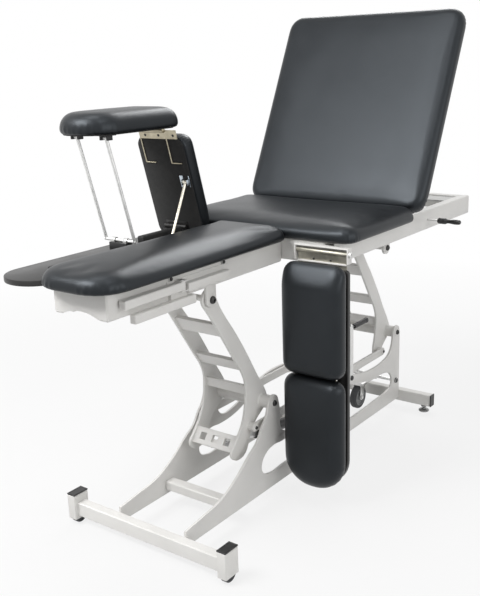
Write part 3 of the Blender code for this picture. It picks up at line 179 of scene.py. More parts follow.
def cutPlate(name, outlines, low, high, rounding=0.0008):
    # flat bar cut to outlines of (x, z) knots; a third value makes a knot a sharp corner
    curve = bpy.data.curves.new(name, "CURVE")
    curve.dimensions = "2D"
    curve.fill_mode = "BOTH"
    curve.extrude = (high - low) / 2 - rounding
    curve.bevel_depth = rounding
    curve.bevel_resolution = plateCut["bevelSteps"]
    curve.offset = -rounding
    curve.resolution_u = plateCut["curveSteps"]
    for outline in outlines:
        spline = curve.splines.new("BEZIER")
        spline.bezier_points.add(len(outline) - 1)
        spline.use_cyclic_u = True
        for knot, point in zip(spline.bezier_points, outline):
            knot.co = (point[0], point[1], 0.0)
            knot.handle_left_type = knot.handle_right_type = "VECTOR" if len(point) > 2 else "AUTO"
    plate = closeSeams(meshFromCurve(name, curve), merge["cut"], outward=False)
    return place(plate, (0, (low + high) / 2, 0), (90, 0, 0))


def weldUp(first, *others):
    makeActive(first)
    for other in others:
        other.select_set(True)
    bpy.ops.object.join()
    return first


def fit(piece, body, finish, slot, *nodes, angle=32):
    # last step for each piece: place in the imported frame, finish, and the body that it rides on
    if not piece.data.materials:
        piece.data.materials.append(finish)
    piece.location = shift
    settle(piece)
    bpy.ops.object.shade_smooth_by_angle(angle=math.radians(angle))
    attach(piece, body)
    if nodes:
        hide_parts(*nodes)
    return piece


# Finishes

driftBand = (0.3, 0.7)  # the part of the noise that colour and gloss are spread over


def newFinish(name):
    finish = bpy.data.materials.new(name)
    finish.use_nodes = True
    tree = finish.node_tree
    coords = tree.nodes.new("ShaderNodeTexCoord")
    return finish, tree, tree.nodes["Principled BSDF"], coords.outputs["Object"]


def addNoise(tree, coords, scale, detail):
    noise = tree.nodes.new("ShaderNodeTexNoise")
    noise.inputs["Scale"].default_value = scale
    noise.inputs["Detail"].default_value = detail
    tree.links.new(coords, noise.inputs["Vector"])
    return noise.outputs["Fac"]


def addCells(tree, coords, scale, feature):
    cells = tree.nodes.new("ShaderNodeTexVoronoi")
    cells.feature = feature
    cells.inputs["Scale"].default_value = scale
    tree.links.new(coords, cells.inputs["Vector"])
    return cells.outputs["Distance"]


def addRange(tree, value, fromLow, fromHigh, low, high):
    node = tree.nodes.new("ShaderNodeMapRange")
    node.inputs["From Min"].default_value = fromLow
    node.inputs["From Max"].default_value = fromHigh
    node.inputs["To Min"].default_value = low
    node.inputs["To Max"].default_value = high
    tree.links.new(value, node.inputs["Value"])
    return node.outputs["Result"]


def addMath(tree, operation, first, second):
    node = tree.nodes.new("ShaderNodeMath")
    node.operation = operation
    tree.links.new(first, node.inputs[0])
    tree.links.new(second, node.inputs[1])
    return node.outputs["Value"]


def addBump(tree, shader, height, strength, distance, under=None):
    bump = tree.nodes.new("ShaderNodeBump")
    bump.inputs["Strength"].default_value = strength
    bump.inputs["Distance"].default_value = distance
    tree.links.new(height, bump.inputs["Height"])
    if under is not None:
        tree.links.new(under, bump.inputs["Normal"])
    tree.links.new(bump.outputs["Normal"], shader.inputs["Normal"])
    return bump.outputs["Normal"]


def layDrift(tree, shader, coords, look, roughness=None):
    # a slow drift of colour, and of gloss where the finish has a range of it
    drift = addNoise(tree, coords, *look["drift"])
    ramp = tree.nodes.new("ShaderNodeValToRGB")
    for stop, position, colour in zip(ramp.color_ramp.elements, driftBand, (look["dark"], look["pale"])):
        stop.position = position
        stop.color = (*colour, 1)
    tree.links.new(drift, ramp.inputs["Fac"])
    tree.links.new(ramp.outputs["Color"], shader.inputs["Base Color"])
    if roughness:
        tree.links.new(addRange(tree, drift, *driftBand, *roughness), shader.inputs["Roughness"])


powderCoatLook = {
    "dark": (0.680, 0.670, 0.648), "pale": (0.740, 0.730, 0.708), "roughness": (0.30, 0.44),
    "drift": (7.0, 3.0),
    "peel": (620.0, 1.5), "peelStrength": 0.18, "peelDepth": 0.00025,
}
vinylLook = {
    "dark": (0.0060, 0.0068, 0.0078), "pale": (0.0090, 0.0101, 0.0114), "roughness": (0.34, 0.40),
    "drift": (9.0, 4.0), "grain": 400.0, "grainDepth": 0.00026, "creaseWidth": 0.22, "creaseStrength": 0.22,
    "pores": (1280.0, 2.0), "poreDepth": 0.00013, "poreStrength": 0.10, "gloss": 0.34,
    "tint": (0.84, 0.92, 1.0, 1),
}
boardLook = {
    "dark": (0.0090, 0.0088, 0.0085), "pale": (0.0160, 0.0155, 0.0150), "roughness": (0.30, 0.40),
    "drift": (14.0, 5.0), "speckle": (900.0, 2.0), "speckleStrength": 0.12, "speckleDepth": 0.00015,
}
clothLook = {
    "dark": (0.006, 0.006, 0.006), "pale": (0.013, 0.0125, 0.012), "roughness": 0.86, "sheen": 0.15,
    "drift": (60.0, 4.0), "weave": 260.0, "waver": 0.6, "weaveStrength": 0.35, "weaveDepth": 0.0003,
}
plasticLook = {
    "drift": (30.0, 3.0), "spread": 0.05, "grainDetail": 2.0, "grainStrength": 0.15, "grainDepth": 0.0002,
}
metalLook = {
    "drift": (40.0, 4.0), "patches": 0.6, "spread": (-0.06, 0.07), "dents": (500.0, 3.0), "dentDepth": 0.0002,
}


def makePowderCoat(look):
    finish, tree, shader, coords = newFinish("warmWhitePowderCoat")
    layDrift(tree, shader, coords, look, look["roughness"])
    addBump(tree, shader, addNoise(tree, coords, *look["peel"]), look["peelStrength"], look["peelDepth"])
    return finish


def makeVinyl(look):
    finish, tree, shader, coords = newFinish("blackGrainVinyl")
    layDrift(tree, shader, coords, look, look["roughness"])
    cells = addCells(tree, coords, look["grain"], "DISTANCE_TO_EDGE")
    creases = addRange(tree, cells, 0.0, look["creaseWidth"], 0.0, 1.0)
    pores = addNoise(tree, coords, *look["pores"])
    under = addBump(tree, shader, pores, look["poreStrength"], look["poreDepth"])
    addBump(tree, shader, creases, look["creaseStrength"], look["grainDepth"], under)
    shader.inputs["Specular IOR Level"].default_value = look["gloss"]
    shader.inputs["Specular Tint"].default_value = look["tint"]
    return finish


def makeBoard(look):
    finish, tree, shader, coords = newFinish("blackLaminateBoard")
    layDrift(tree, shader, coords, look, look["roughness"])
    speckle = addNoise(tree, coords, *look["speckle"])
    addBump(tree, shader, speckle, look["speckleStrength"], look["speckleDepth"])
    return finish


def makeBackingCloth(look):
    # a plain weave, drawn by two crossed waves
    finish, tree, shader, coords = newFinish("blackBackingCloth")
    layDrift(tree, shader, coords, look)
    weave = []
    for direction in ("X", "Y"):
        wave = tree.nodes.new("ShaderNodeTexWave")
        wave.bands_direction = direction
        wave.inputs["Scale"].default_value = look["weave"]
        wave.inputs["Distortion"].default_value = look["waver"]
        tree.links.new(coords, wave.inputs["Vector"])
        weave.append(wave.outputs["Fac"])
    addBump(tree, shader, addMath(tree, "MULTIPLY", *weave), look["weaveStrength"], look["weaveDepth"])
    shader.inputs["Roughness"].default_value = look["roughness"]
    shader.inputs["Sheen Weight"].default_value = look["sheen"]
    return finish


def makePlastic(name, dark, pale, roughness, grain=1400.0):
    finish, tree, shader, coords = newFinish(name)
    look = {**plasticLook, "dark": dark, "pale": pale}
    layDrift(tree, shader, coords, look, (roughness - look["spread"], roughness + look["spread"]))
    speckle = addNoise(tree, coords, grain, look["grainDetail"])
    addBump(tree, shader, speckle, look["grainStrength"], look["grainDepth"])
    return finish


def makeMetal(name, dark, pale, roughness, spangle=160.0, dents=0.08):
    finish, tree, shader, coords = newFinish(name)
    look = {**metalLook, "dark": dark, "pale": pale}
    layDrift(tree, shader, coords, look)
    patches = addCells(tree, coords, spangle, "F1")
    gloss = addRange(tree, patches, 0.0, look["patches"], *(roughness + change for change in look["spread"]))
    tree.links.new(gloss, shader.inputs["Roughness"])
    addBump(tree, shader, addNoise(tree, coords, *look["dents"]), dents, look["dentDepth"])
    shader.inputs["Metallic"].default_value = 1.0
    return finish


powderCoat = makePowderCoat(powderCoatLook)
vinyl = makeVinyl(vinylLook)
boardBlack = makeBoard(boardLook)
backingCloth = makeBackingCloth(clothLook)
plasticBlack = makePlastic("mouldedBlackPlastic", (0.009, 0.009, 0.0095), (0.016, 0.016, 0.0165), 0.40)
boltBlack = makePlastic("blackOxideBolt", (0.012, 0.012, 0.012), (0.024, 0.023, 0.022), 0.34, 700.0)
rubberBlack = makePlastic("blackRubber", (0.008, 0.008, 0.008), (0.013, 0.013, 0.013), 0.66, 900.0)
rubberTread = makePlastic("greyTread", (0.040, 0.042, 0.045), (0.060, 0.062, 0.066), 0.62)
wheelCore = makePlastic("greyWheelCore", (0.22, 0.225, 0.23), (0.27, 0.275, 0.28), 0.45)
coverGrey = makePlastic("greyCoverPanel", (0.50, 0.50, 0.49), (0.56, 0.56, 0.55), 0.50)
zinc = makeMetal("brightZinc", (0.60, 0.60, 0.59), (0.74, 0.74, 0.73), 0.30)
yellowZinc = makeMetal("goldenZinc", (0.40, 0.36, 0.27), (0.56, 0.51, 0.39), 0.36)
warmSteel = makeMetal("warmSteel", (0.66, 0.62, 0.53), (0.80, 0.76, 0.66), 0.36)
dullZinc = makeMetal("dullZinc", (0.34, 0.33, 0.28), (0.46, 0.44, 0.38), 0.46)
darkSteel = makeMetal("darkSteel", (0.20, 0.20, 0.20), (0.30, 0.30, 0.30), 0.38)
blueZinc = makeMetal("blueZinc", (0.42, 0.49, 0.56), (0.62, 0.68, 0.74), 0.26)
satinSteel = makeMetal("satinRod", (0.78, 0.78, 0.77), (0.85, 0.85, 0.84), 0.52, 40.0, 0.02)
print("finishes made")

# Carried-over frame nodes keep their mesh; edges are eased by modifiers

nodeFinishes = (
    (powderCoat, (
        "foot_crossbar", "head_crossbar", "base_tie", "actuator_mount", "tie_link_near", "tie_link_far",
        "leg_channel", "side_rail_near", "side_rail_far", "foot_crossmember", "head_crossmember",
        "pivot_crossmember", "leg_bracket_near", "leg_bracket_far", "support_arm_near", "support_arm_far")),
    (zinc, (
        "castor_carriage", "castor_fork", "actuator_rod", "back_hinge", "back_prop_bracket", "back_prop")),
    (plasticBlack, ("actuator_body",)),
    (coverGrey, ("head_cover",)),
    (dullZinc, ("leg_hinge_near", "leg_hinge_far")),
    (yellowZinc, ("knee_hinge_near", "knee_hinge_far")),
    (warmSteel, ("thigh_prop_near", "thigh_prop_far")),
)
easing = {
    "weld": 0.00002, "flat": 0.6, "angle": 33.0, "width": 0.0009,
    "openTubes": ("side_rail_near", "side_rail_far"),  # the ring at their open ends has to stay in triangles
}


def dressNode(name, finish):
    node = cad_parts[name]
    node.data.materials.clear()
    node.data.materials.append(finish)
    for face in node.data.polygons:
        face.use_smooth = True
        face.material_index = 0
    weld = node.modifiers.new("weld", "WELD")
    weld.merge_threshold = easing["weld"]
    if name not in easing["openTubes"]:
        flat = node.modifiers.new("flat", "DECIMATE")
        flat.decimate_type = "DISSOLVE"
        flat.angle_limit = math.radians(easing["flat"])
    ease = node.modifiers.new("ease", "BEVEL")
    ease.limit_method = "ANGLE"
    ease.angle_limit = math.radians(easing["angle"])
    ease.width = easing["width"]
    ease.segments = 2
    ease.harden_normals = True


for nodeFinish, nodeNames in nodeFinishes:
    for nodeName in nodeNames:
        dressNode(nodeName, nodeFinish)
print("frame nodes dressed")

# Upholstery: each cover starts as a foam block on its board and is blown up by the cloth solver

seatPad = {
    "low": (0.547, -0.347, 0.8120), "high": (0.988, 0.347, 0.8735), "corners": (0.045, 0.045, 0.045, 0.045),
    "roll": 0.041, "tuck": 0.009, "voxel": 0.0080, "board": 0.010, "cap": 0.010, "pressure": 1.3,
    "pucker": 0.0010,
}
legPad = {
    "low": (-0.234, -0.134, 0.8080), "high": (0.544, 0.134, 0.8680), "corners": (0.088, 0.030, 0.030, 0.088),
    "roll": 0.048, "tuck": 0.011, "voxel": 0.0075, "board": 0.008, "cap": 0.012, "pressure": 1.8,
    "pucker": 0.0007,
}
backPad = {
    "low": (0.0, -0.349, -0.0040), "high": (0.725, 0.349, 0.0546), "corners": (0.055, 0.055, 0.055, 0.055),
    "roll": 0.028, "tuck": 0.007, "voxel": 0.0090, "board": 0.012, "cap": 0.006, "pressure": 0.6,
    "pucker": 0.0009,
    "iron": 160, "flat": 0.985,  # rounds of ironing, and how level a spot is to be ironed
}
thighPad = {
    "low": (-0.298, -0.099, 0.0105), "high": (0.044, 0.099, 0.0740), "corners": (0.035, 0.035, 0.035, 0.035),
    "roll": 0.036, "tuck": 0.007, "voxel": 0.0060, "board": 0.008, "cap": 0.008, "pressure": 1.6,
    "pucker": 0.0006,
    "press": 0.38, "pressFrom": -0.030,  # the hinge end is thinned to clear the seat when raised
}
calfPad = {
    "low": (-0.338, -0.099, 0.0105), "high": (0.020, 0.099, 0.0750), "corners": (0.092, 0.035, 0.035, 0.092),
    "roll": 0.046, "tuck": 0.011, "voxel": 0.0060, "board": 0.008, "cap": 0.006, "pressure": 1.2,
    "pucker": 0.0005,
}
foam = {"reach": 0.0005, "cornerSteps": 9, "rollSteps": 6, "tuckSteps": 3, "firstEase": 3, "lastEase": 9}
coverCloth = {
    "quality": 4, "mass": 0.3, "tension_stiffness": 60, "compression_stiffness": 60, "shear_stiffness": 40,
    "bending_stiffness": 12, "bending_damping": 2, "use_pressure": True,
}
swellSteps = 20
puckers = {"past": 0.004, "inner": 0.55, "level": 0.22, "fade": 0.34, "waves": 26}


def foamBlock(name, pad):
    low, high = pad["low"], pad["high"]
    block = cutBlock(name, low, high)
    roundUprights(block, low, high, pad["corners"], foam["cornerSteps"], foam["reach"])
    bevelEdges(block, pad["roll"], foam["rollSteps"], lambda a, b: min(a.z, b.z) > high[2] - foam["reach"])
    bevelEdges(block, pad["tuck"], foam["tuckSteps"], lambda a, b: max(a.z, b.z) < low[2] + foam["reach"])
    return block


def blowUp(cover, pad):
    held = cover.vertex_groups.new(name="boardEdge")
    boardTop = pad["low"][2] + pad["board"]
    held.add([v.index for v in cover.data.vertices if v.co.z < boardTop], 1.0, "REPLACE")
    before = [v.co.copy() for v in cover.data.vertices]
    cloth = cover.modifiers.new("cover", "CLOTH")
    for setting, value in coverCloth.items():
        setattr(cloth.settings, setting, value)
    cloth.settings.vertex_group_mass = "boardEdge"
    cloth.settings.uniform_pressure_force = pad["pressure"]
    cloth.settings.effector_weights.gravity = 0
    cloth.collision_settings.use_collision = False
    for step in range(swellSteps):
        scene.frame_set(step + 1)
    makeActive(cover)
    bpy.ops.object.modifier_apply(modifier="cover")
    scene.frame_set(1)
    most = 0.0
    for vertex, start in zip(cover.data.vertices, before):
        move = vertex.co - start
        most = max(most, move.length)
        if move.length > 1e-9:
            vertex.co = start + move * (pad["cap"] * math.tanh(move.length / pad["cap"]) / move.length)
    print(cover.name, "swelled by up to", round(most * 1000, 1), "mm before the cap")


def puckerCorners(cover, pad):
    # the cover is drawn in tucks under each corner
    low, high = pad["low"], pad["high"]
    height = high[2] - low[2]
    corners = (
        (low[0], low[1], 1, 1), (high[0], low[1], -1, 1),
        (high[0], high[1], -1, -1), (low[0], high[1], 1, -1),
    )
    for (x, y, dx, dy), radius in zip(corners, pad["corners"]):
        centre = Vector((x + dx * radius, y + dy * radius))
        for vertex in cover.data.vertices:
            out = Vector((vertex.co.x, vertex.co.y)) - centre
            if max(out.x * dx, out.y * dy) > puckers["past"] or out.length < radius * puckers["inner"]:
                continue
            level = (vertex.co.z - low[2]) / height
            fade = max(0.0, 1 - abs(level - puckers["level"]) / puckers["fade"])
            angle = math.atan2(out.y * dy, out.x * dx)
            push = out.normalized() * (math.cos(angle * puckers["waves"]) * fade * pad["pucker"])
            vertex.co.x += push.x
            vertex.co.y += push.y


def drawToSize(cover, pad):
    # the swollen cover is drawn back to the width, length and height of the pad
    points = [v.co for v in cover.data.vertices]
    for axis in range(3):
        low = min(p[axis] for p in points)
        high = max(p[axis] for p in points)
        grow = (pad["high"][axis] - pad["low"][axis]) / (high - low)
        for point in points:
            point[axis] = pad["low"][axis] + (point[axis] - low) * grow
    print(cover.name, "drawn to size")


def ironFlat(cover, pad):
    # takes the small dents out of the flat of the cover
    selectIn(cover, "VERT", lambda mesh: [v for v in mesh.verts if v.normal.z > pad["flat"]])
    bpy.ops.mesh.vertices_smooth(factor=0.5, repeat=pad["iron"], xaxis=False, yaxis=False, zaxis=True)
    bpy.ops.object.mode_set(mode="OBJECT")


def pressEnd(cover, pad):
    # thins the cover towards its hinge end
    run = pad["high"][0] - pad["pressFrom"]
    for vertex in cover.data.vertices:
        along = min(1.0, max(0.0, (vertex.co.x - pad["pressFrom"]) / run))
        share = pad["press"] * along * along * (3 - 2 * along)
        vertex.co.z -= (vertex.co.z - pad["low"][2]) * share


def makeCover(name, pad):
    cover = foamBlock(name, pad)
    cover.data.remesh_voxel_size = pad["voxel"]
    makeActive(cover)
    bpy.ops.object.voxel_remesh()
    ease = cover.modifiers.new("ease", "SMOOTH")
    ease.iterations = foam["firstEase"]
    applyAll(cover)
    blowUp(cover, pad)
    cover.vertex_groups.clear()
    ease = cover.modifiers.new("ease", "SMOOTH")
    ease.iterations = foam["lastEase"]
    finer = cover.modifiers.new("finer", "SUBSURF")
    finer.levels = finer.render_levels = 1
    applyAll(cover)
    if "iron" in pad:
        ironFlat(cover, pad)
    drawToSize(cover, pad)
    if "press" in pad:
        pressEnd(cover, pad)
    puckerCorners(cover, pad)
    return cover


def upholster(cover, body, node):
    fit(cover, body, vinyl, "black_vinyl", node, angle=60)


def copyPiece(piece, name):
    twin = piece.copy()
    twin.data = piece.data.copy()
    twin.name = name
    scene.collection.objects.link(twin)
    return twin


def stand(x, z, degrees):
    return Matrix.Translation((x, 0.0, z)) @ Matrix.Rotation(math.radians(degrees), 4, "Y")


hinges = {
    "back": (1.035, 0.822), "backAngle": 64.0, "leg": (0.549, 0.786), "hang": {"near": -90.0, "far": 0.0},
    "thighStart": 0.064, "padHinge": 0.044, "thighLength": 0.322, "raise": {"near": 0.0, "far": 74.3},
    "padMiddle": {"near": 0.2605, "far": 0.252},
    "padSpread": {"near": (1.035, 0.87), "far": (1.0, 1.0)},  # width and thickness, flatter when hanging
}
backFrame = stand(*hinges["back"], -hinges["backAngle"])
legFrames, thighFrames, calfFrames = {}, {}, {}
for side in sides:
    raised = hinges["raise"][side]
    legFrames[side] = stand(*hinges["leg"], hinges["hang"][side])
    thighFrames[side] = legFrames[side] @ stand(-hinges["thighStart"], hinges["padHinge"], raised)
    calfFrames[side] = thighFrames[side] @ stand(-hinges["thighLength"], 0.0, -raised)

upholster(makeCover("seatCover", seatPad), "deck", "seat_cushion")
upholster(makeCover("legRestCover", legPad), "deck", "leg_cushion")
upholster(placeBy(makeCover("backrestCover", backPad), backFrame), "backrest", "backrest_cushion")
masters = {"thigh": makeCover("thighMaster", thighPad), "calf": makeCover("calfMaster", calfPad)}
padFrames = {"thigh": thighFrames, "calf": calfFrames}
for side, sign in sides.items():
    wide, thick = hinges["padSpread"][side]
    under = thighPad["low"][2] * (1 - thick)
    spread = Matrix.Translation((0.0, sign * hinges["padMiddle"][side], under))
    spread = spread @ Matrix.Diagonal((1.0, wide, thick, 1.0))
    for pad, master in masters.items():
        cover = placeBy(copyPiece(master, f"{pad}Cover_{side}"), padFrames[pad][side] @ spread)
        upholster(cover, f"{pad}_{side}", f"{pad}_pad_{side}")
for master in masters.values():
    bpy.data.objects.remove(master)
print("upholstery made")

# Small shared makers

bend = {"reach": 2.2, "steps": (0.0, 0.25, 0.5, 0.75, 1.0)}


def bentRod(name, points, radius, smoothness=4):
    # round bar along straight runs, with short bends at its corners
    curve = bpy.data.curves.new(name, "CURVE")
    curve.dimensions = "3D"
    curve.bevel_depth = radius
    curve.bevel_resolution = smoothness
    curve.use_fill_caps = True
    spline = curve.splines.new("POLY")
    path = [Vector(points[0])]
    for before, corner, after in zip(points, points[1:], points[2:]):
        corner = Vector(corner)
        back = (Vector(before) - corner).normalized() * radius * bend["reach"]
        on = (Vector(after) - corner).normalized() * radius * bend["reach"]
        for step in bend["steps"]:
            path.append(corner + back * (1 - step) ** 2 + on * step ** 2)
    path.append(Vector(points[-1]))
    spline.points.add(len(path) - 1)
    for knot, point in zip(spline.points, path):
        knot.co = (*point, 1.0)
    return closeSeams(meshFromCurve(name, curve), merge["turned"])


def roundedBlock(name, low, high, width, segments=3):
    block = cutBlock(name, low, high)
    bevelEdges(block, width, segments, lambda a, b: True)
    return block


board = {"cornerSteps": 12, "reach": 0.0003, "level": 0.0001, "rimSteps": 2}


def plank(name, low, high, corners, rim=0.002):
    # board with its own radius at each upright corner and an eased rim
    block = cutBlock(name, low, high)
    roundUprights(block, low, high, corners, board["cornerSteps"], board["reach"])
    bevelEdges(block, rim, board["rimSteps"], lambda a, b: abs(a.z - b.z) < board["level"])
    return block


def across(side, inner, outer):
    return sorted((sides[side] * inner, sides[side] * outer))


def sideSpans(side, spans):
    # spans in x, y and z, with y counted outwards from the middle of the table
    (start, end), (inner, outer), (bottom, top) = spans
    low, high = across(side, inner, outer)
    return (start, low, bottom), (end, high, top)


def sidePlate(name, outlines, side, inner, outer, rounding):
    return cutPlate(name, outlines, *across(side, inner, outer), rounding=rounding)


button = {"socket": 0.36, "socketDepth": 0.45, "dome": ((0.62, 0.96), (0.86, 0.74), (1.0, 0.36), (1.0, 0.0))}


def buttonProfile(radius, height, base=0.0):
    socket, floor = radius * button["socket"], base + height * button["socketDepth"]
    profile = [(0.0, floor), (socket, floor), (socket, base + height)]
    return profile + [(radius * out, base + height * up) for out, up in button["dome"]]


def buttonHead(name, radius, height, shank=0.0, shankRadius=0.0):
    profile = buttonProfile(radius, height)
    if shank:
        profile += [(shankRadius, 0.0), (shankRadius, -shank), (0.0, -shank)]
    else:
        profile.append((0.0, 0.0))
    return turnOnLathe(name, profile, 28)


def faceOut(piece, x, y, z):
    # stands a turned piece on a side face, pointing away from the middle of the table
    return place(piece, (x, y, z), (90 if y < 0 else -90, 0, 0))


def addHead(name, size, at, body, finish=boltBlack, slot="black_plastic"):
    return fit(faceOut(buttonHead(name, *size), *at), body, finish, slot)


headGap = 0.0003  # a pin's heads stand just clear of the plates


def crossPin(name, centre, half, radius, headRadius, headHeight):
    base = half + headGap
    top = buttonProfile(headRadius, headHeight, base) + [(radius, base)]
    return place(turnOnLathe(name, bothEnds(top), 36), (centre[0], 0, centre[1]), (90, 0, 0))


# Base frame

basePlate = {
    "foot": 0.0163, "head": 1.3147, "bottom": 0.040, "inner": 0.120, "outer": 0.128, "horn": 0.026,
    "footTop": 0.086, "headTop": 0.300, "pivotBore": 0.0123, "axleBore": 0.0063, "rounding": 0.0012,
    "footPivot": (0.454, 0.316), "headPivot": (1.287, 0.316), "castorAxle": (1.286, 0.120),
    "footRise": [(0.087, 0.095), (0.183, 0.111), (0.255, 0.146), (0.320, 0.191), (0.364, 0.220),
                 (0.387, 0.252), (0.412, 0.281)],
    "back": [(0.4885, 0.280), (0.490, 0.225), (0.512, 0.203), (0.570, 0.205), (0.660, 0.235), (0.750, 0.260),
             (0.832, 0.267), (0.915, 0.259), (1.026, 0.2335), (1.109, 0.2255), (1.181, 0.230), (1.230, 0.246),
             (1.253, 0.276)],
    "window": [(0.500, 0.173), (0.445, 0.176), (0.408, 0.165), (0.386, 0.140), (0.388, 0.110), (0.417, 0.093),
               (0.506, 0.0915), (0.944, 0.0885), (1.130, 0.094), (1.215, 0.099), (1.246, 0.108),
               (1.254, 0.132),
               (1.242, 0.157), (1.212, 0.174), (1.096, 0.184), (1.004, 0.200), (0.915, 0.222),
               (0.832, 0.2335),
               (0.750, 0.224), (0.660, 0.203), (0.575, 0.179)],
}


def basePlateOutline(plate):
    edge = [(plate["foot"], plate["bottom"], 1), (plate["foot"], plate["footTop"], 1)] + plate["footRise"]
    edge += around(plate["footPivot"], plate["horn"], 170, 10, 7) + plate["back"]
    edge += around(plate["headPivot"], plate["horn"], 175, 30, 7)
    return edge + [(plate["head"], plate["headTop"], 1), (plate["head"], plate["bottom"], 1)]


for side in sides:
    holes = [ring(basePlate[pivot], basePlate["pivotBore"]) for pivot in ("footPivot", "headPivot")]
    holes.append(ring(basePlate["castorAxle"], basePlate["axleBore"]))
    plate = sidePlate("basePlate_" + side, [basePlateOutline(basePlate), basePlate["window"]] + holes, side,
                      basePlate["inner"], basePlate["outer"], basePlate["rounding"])
    fit(plate, "base", powderCoat, "powder_coat", "base_plate_" + side)

postCap = {"spans": ((-0.0282, 0.0282), (0.2683, 0.2997), (0.0962, 0.1003)), "panel": 0.0034, "sink": 0.0006}
endCap = {"spans": ((1.3145, 1.3465), (0.2588, 0.2633), (0.0261, 0.0721)), "panel": 0.0030, "sink": 0.0005}
capEdge = {"rounding": 0.0014, "step": 0.0006}


def makeCap(name, side, cap, axis, sign):
    # rounded cap; of the faces that look along the axis, the largest is inset and pressed in
    piece = roundedBlock(name + side, *sideSpans(side, cap["spans"]), capEdge["rounding"])
    selectIn(piece, "FACE", lambda mesh: [
        max(mesh.faces, key=lambda face: face.normal[axis] * sign * 10 + face.calc_area())])
    bpy.ops.mesh.inset(thickness=cap["panel"], depth=0)
    bpy.ops.mesh.inset(thickness=capEdge["step"], depth=-cap["sink"])
    bpy.ops.object.mode_set(mode="OBJECT")
    fit(piece, "base", plasticBlack, "black_plastic")


for side, sign in sides.items():
    makeCap("postCap_", side, postCap, 2, 1)
    makeCap("headBarCap_", side, endCap, 1, sign)

pivotPins = {  # body, centre, half length, radius, radius of the flange, radius and height of the bolt head
    "foot_pivot_pin": ("base", basePlate["footPivot"], 0.128, 0.012, 0.0160, (0.0095, 0.0078)),
    "head_pivot_pin": ("base", basePlate["headPivot"], 0.128, 0.012, 0.0160, (0.0095, 0.0078)),
    "front_top_pin": ("deck", (0.213, 0.699), 0.0945, 0.009, 0.0140, (0.0112, 0.0092)),
    "head_top_shaft": ("deck", (1.046, 0.699), 0.204, 0.009, 0.0140, (0.0100, 0.0080)),
}
flange = {"height": 0.0024, "boltSeat": 0.00168}
axleCap = {"size": (0.0105, 0.0068), "face": 0.1282}
for nodeName, (body, centre, half, radius, flangeRadius, boltSize) in pivotPins.items():
    pin = crossPin(nodeName + "Turned", centre, half, radius, flangeRadius, flange["height"])
    fit(pin, body, powderCoat, "powder_coat", nodeName)
    for side, sign in sides.items():
        face = sign * (half + flange["boltSeat"])
        addHead(nodeName + "Bolt_" + side, boltSize, (centre[0], face, centre[1]), body)
for side, sign in sides.items():
    x, z = basePlate["castorAxle"]
    addHead("castorAxleCap_" + side, axleCap["size"], (x, sign * axleCap["face"], z), "castor_carriage")
print("base frame made")

# Lift arms

arm = {
    "top": (-0.241, 0.383), "boss": 0.029, "inner": 0.076, "outer": 0.084, "bore": 0.0123, "topBore": 0.0093,
    "link": (-0.068, -0.062), "tail": (-0.124, -0.126), "rounding": 0.0012, "rung": 0.012,
    "rungRounding": 0.0010,
    "headEdge": [(-0.189, 0.345), (-0.119, 0.248), (-0.069, 0.172), (-0.022, 0.094), (0.012, 0.042)],
    "footEdge": [(-0.089, -0.006), (-0.081, 0.046), (-0.083, 0.085), (-0.096, 0.117), (-0.124, 0.159),
                 (-0.172, 0.232), (-0.218, 0.302), (-0.252, 0.350)],
    "longTail": [(-0.040, -0.060), (-0.064, -0.088), (-0.076, -0.117), (-0.092, -0.141), (-0.120, -0.151),
                 (-0.150, -0.144), (-0.164, -0.122), (-0.142, -0.093), (-0.104, -0.045)],
    "shortTail": [(-0.036, -0.062), (-0.050, -0.084), (-0.072, -0.091), (-0.093, -0.080), (-0.100, -0.052)],
    "rungs": (((-0.205, 0.296), (-0.178, 0.253)), ((-0.119, 0.161), (-0.095, 0.125)),
              ((-0.072, 0.068), (-0.072, 0.040))),
    "step": ((-0.122, -0.078), (-0.154, -0.120)), "window": 0.011, "windowAt": (-0.046, 0.0, 0.046),
    "hub": [(0.0123, -0.1197), (0.0200, -0.1197), (0.0210, -0.1187), (0.0210, 0.1187), (0.0200, 0.1197),
            (0.0123, 0.1197)],
    "linkBoss": [(0.0, 0.0), (0.0138, 0.0), (0.0128, 0.0012), (0.0128, 0.0132), (0.0120, 0.0140),
                 (0.0, 0.0140)],
    "bead": [(0.0206, 0.0), (0.0250, 0.0), (0.0232, 0.0020), (0.0206, 0.0036)],
    "bossFace": 0.0836, "beadFace": 0.0837,
    "lug": [(-0.131, -0.104, 1), (-0.145, -0.122, 1)],
    "lugRadius": 0.013, "lugBore": 0.0055, "lugHalf": 0.012,
    "linkPin": (0.0112, 0.0026, 0.0090, 0.0078), "pinFace": 0.1065,
    "linkBolt": (0.0056, 0.0046), "boltFace": 0.1082,
}


def armSlab(name, start, end, reach, windows=()):
    start, end = Vector(start), Vector(end)
    along = (end - start).normalized()
    length = (end - start).length
    outlines = [[(0, -reach, 1), (length, -reach, 1), (length, reach, 1), (0, reach, 1)]]
    size = arm["window"]
    low, high = length / 2 - size, length / 2 + size
    for middle in windows:
        outlines.append([(low, middle - size, 1), (high, middle - size, 1), (high, middle + size, 1),
                         (low, middle + size, 1)])
    slab = cutPlate(name, outlines, -arm["rung"], 0.0, arm["rungRounding"])
    return placeBy(slab, Matrix((
        (along.x, along.y, 0.0, start.x), (0.0, 0.0, 1.0, 0.0),
        (along.y, -along.x, 0.0, start.y), (0.0, 0.0, 0.0, 1.0),
    )))


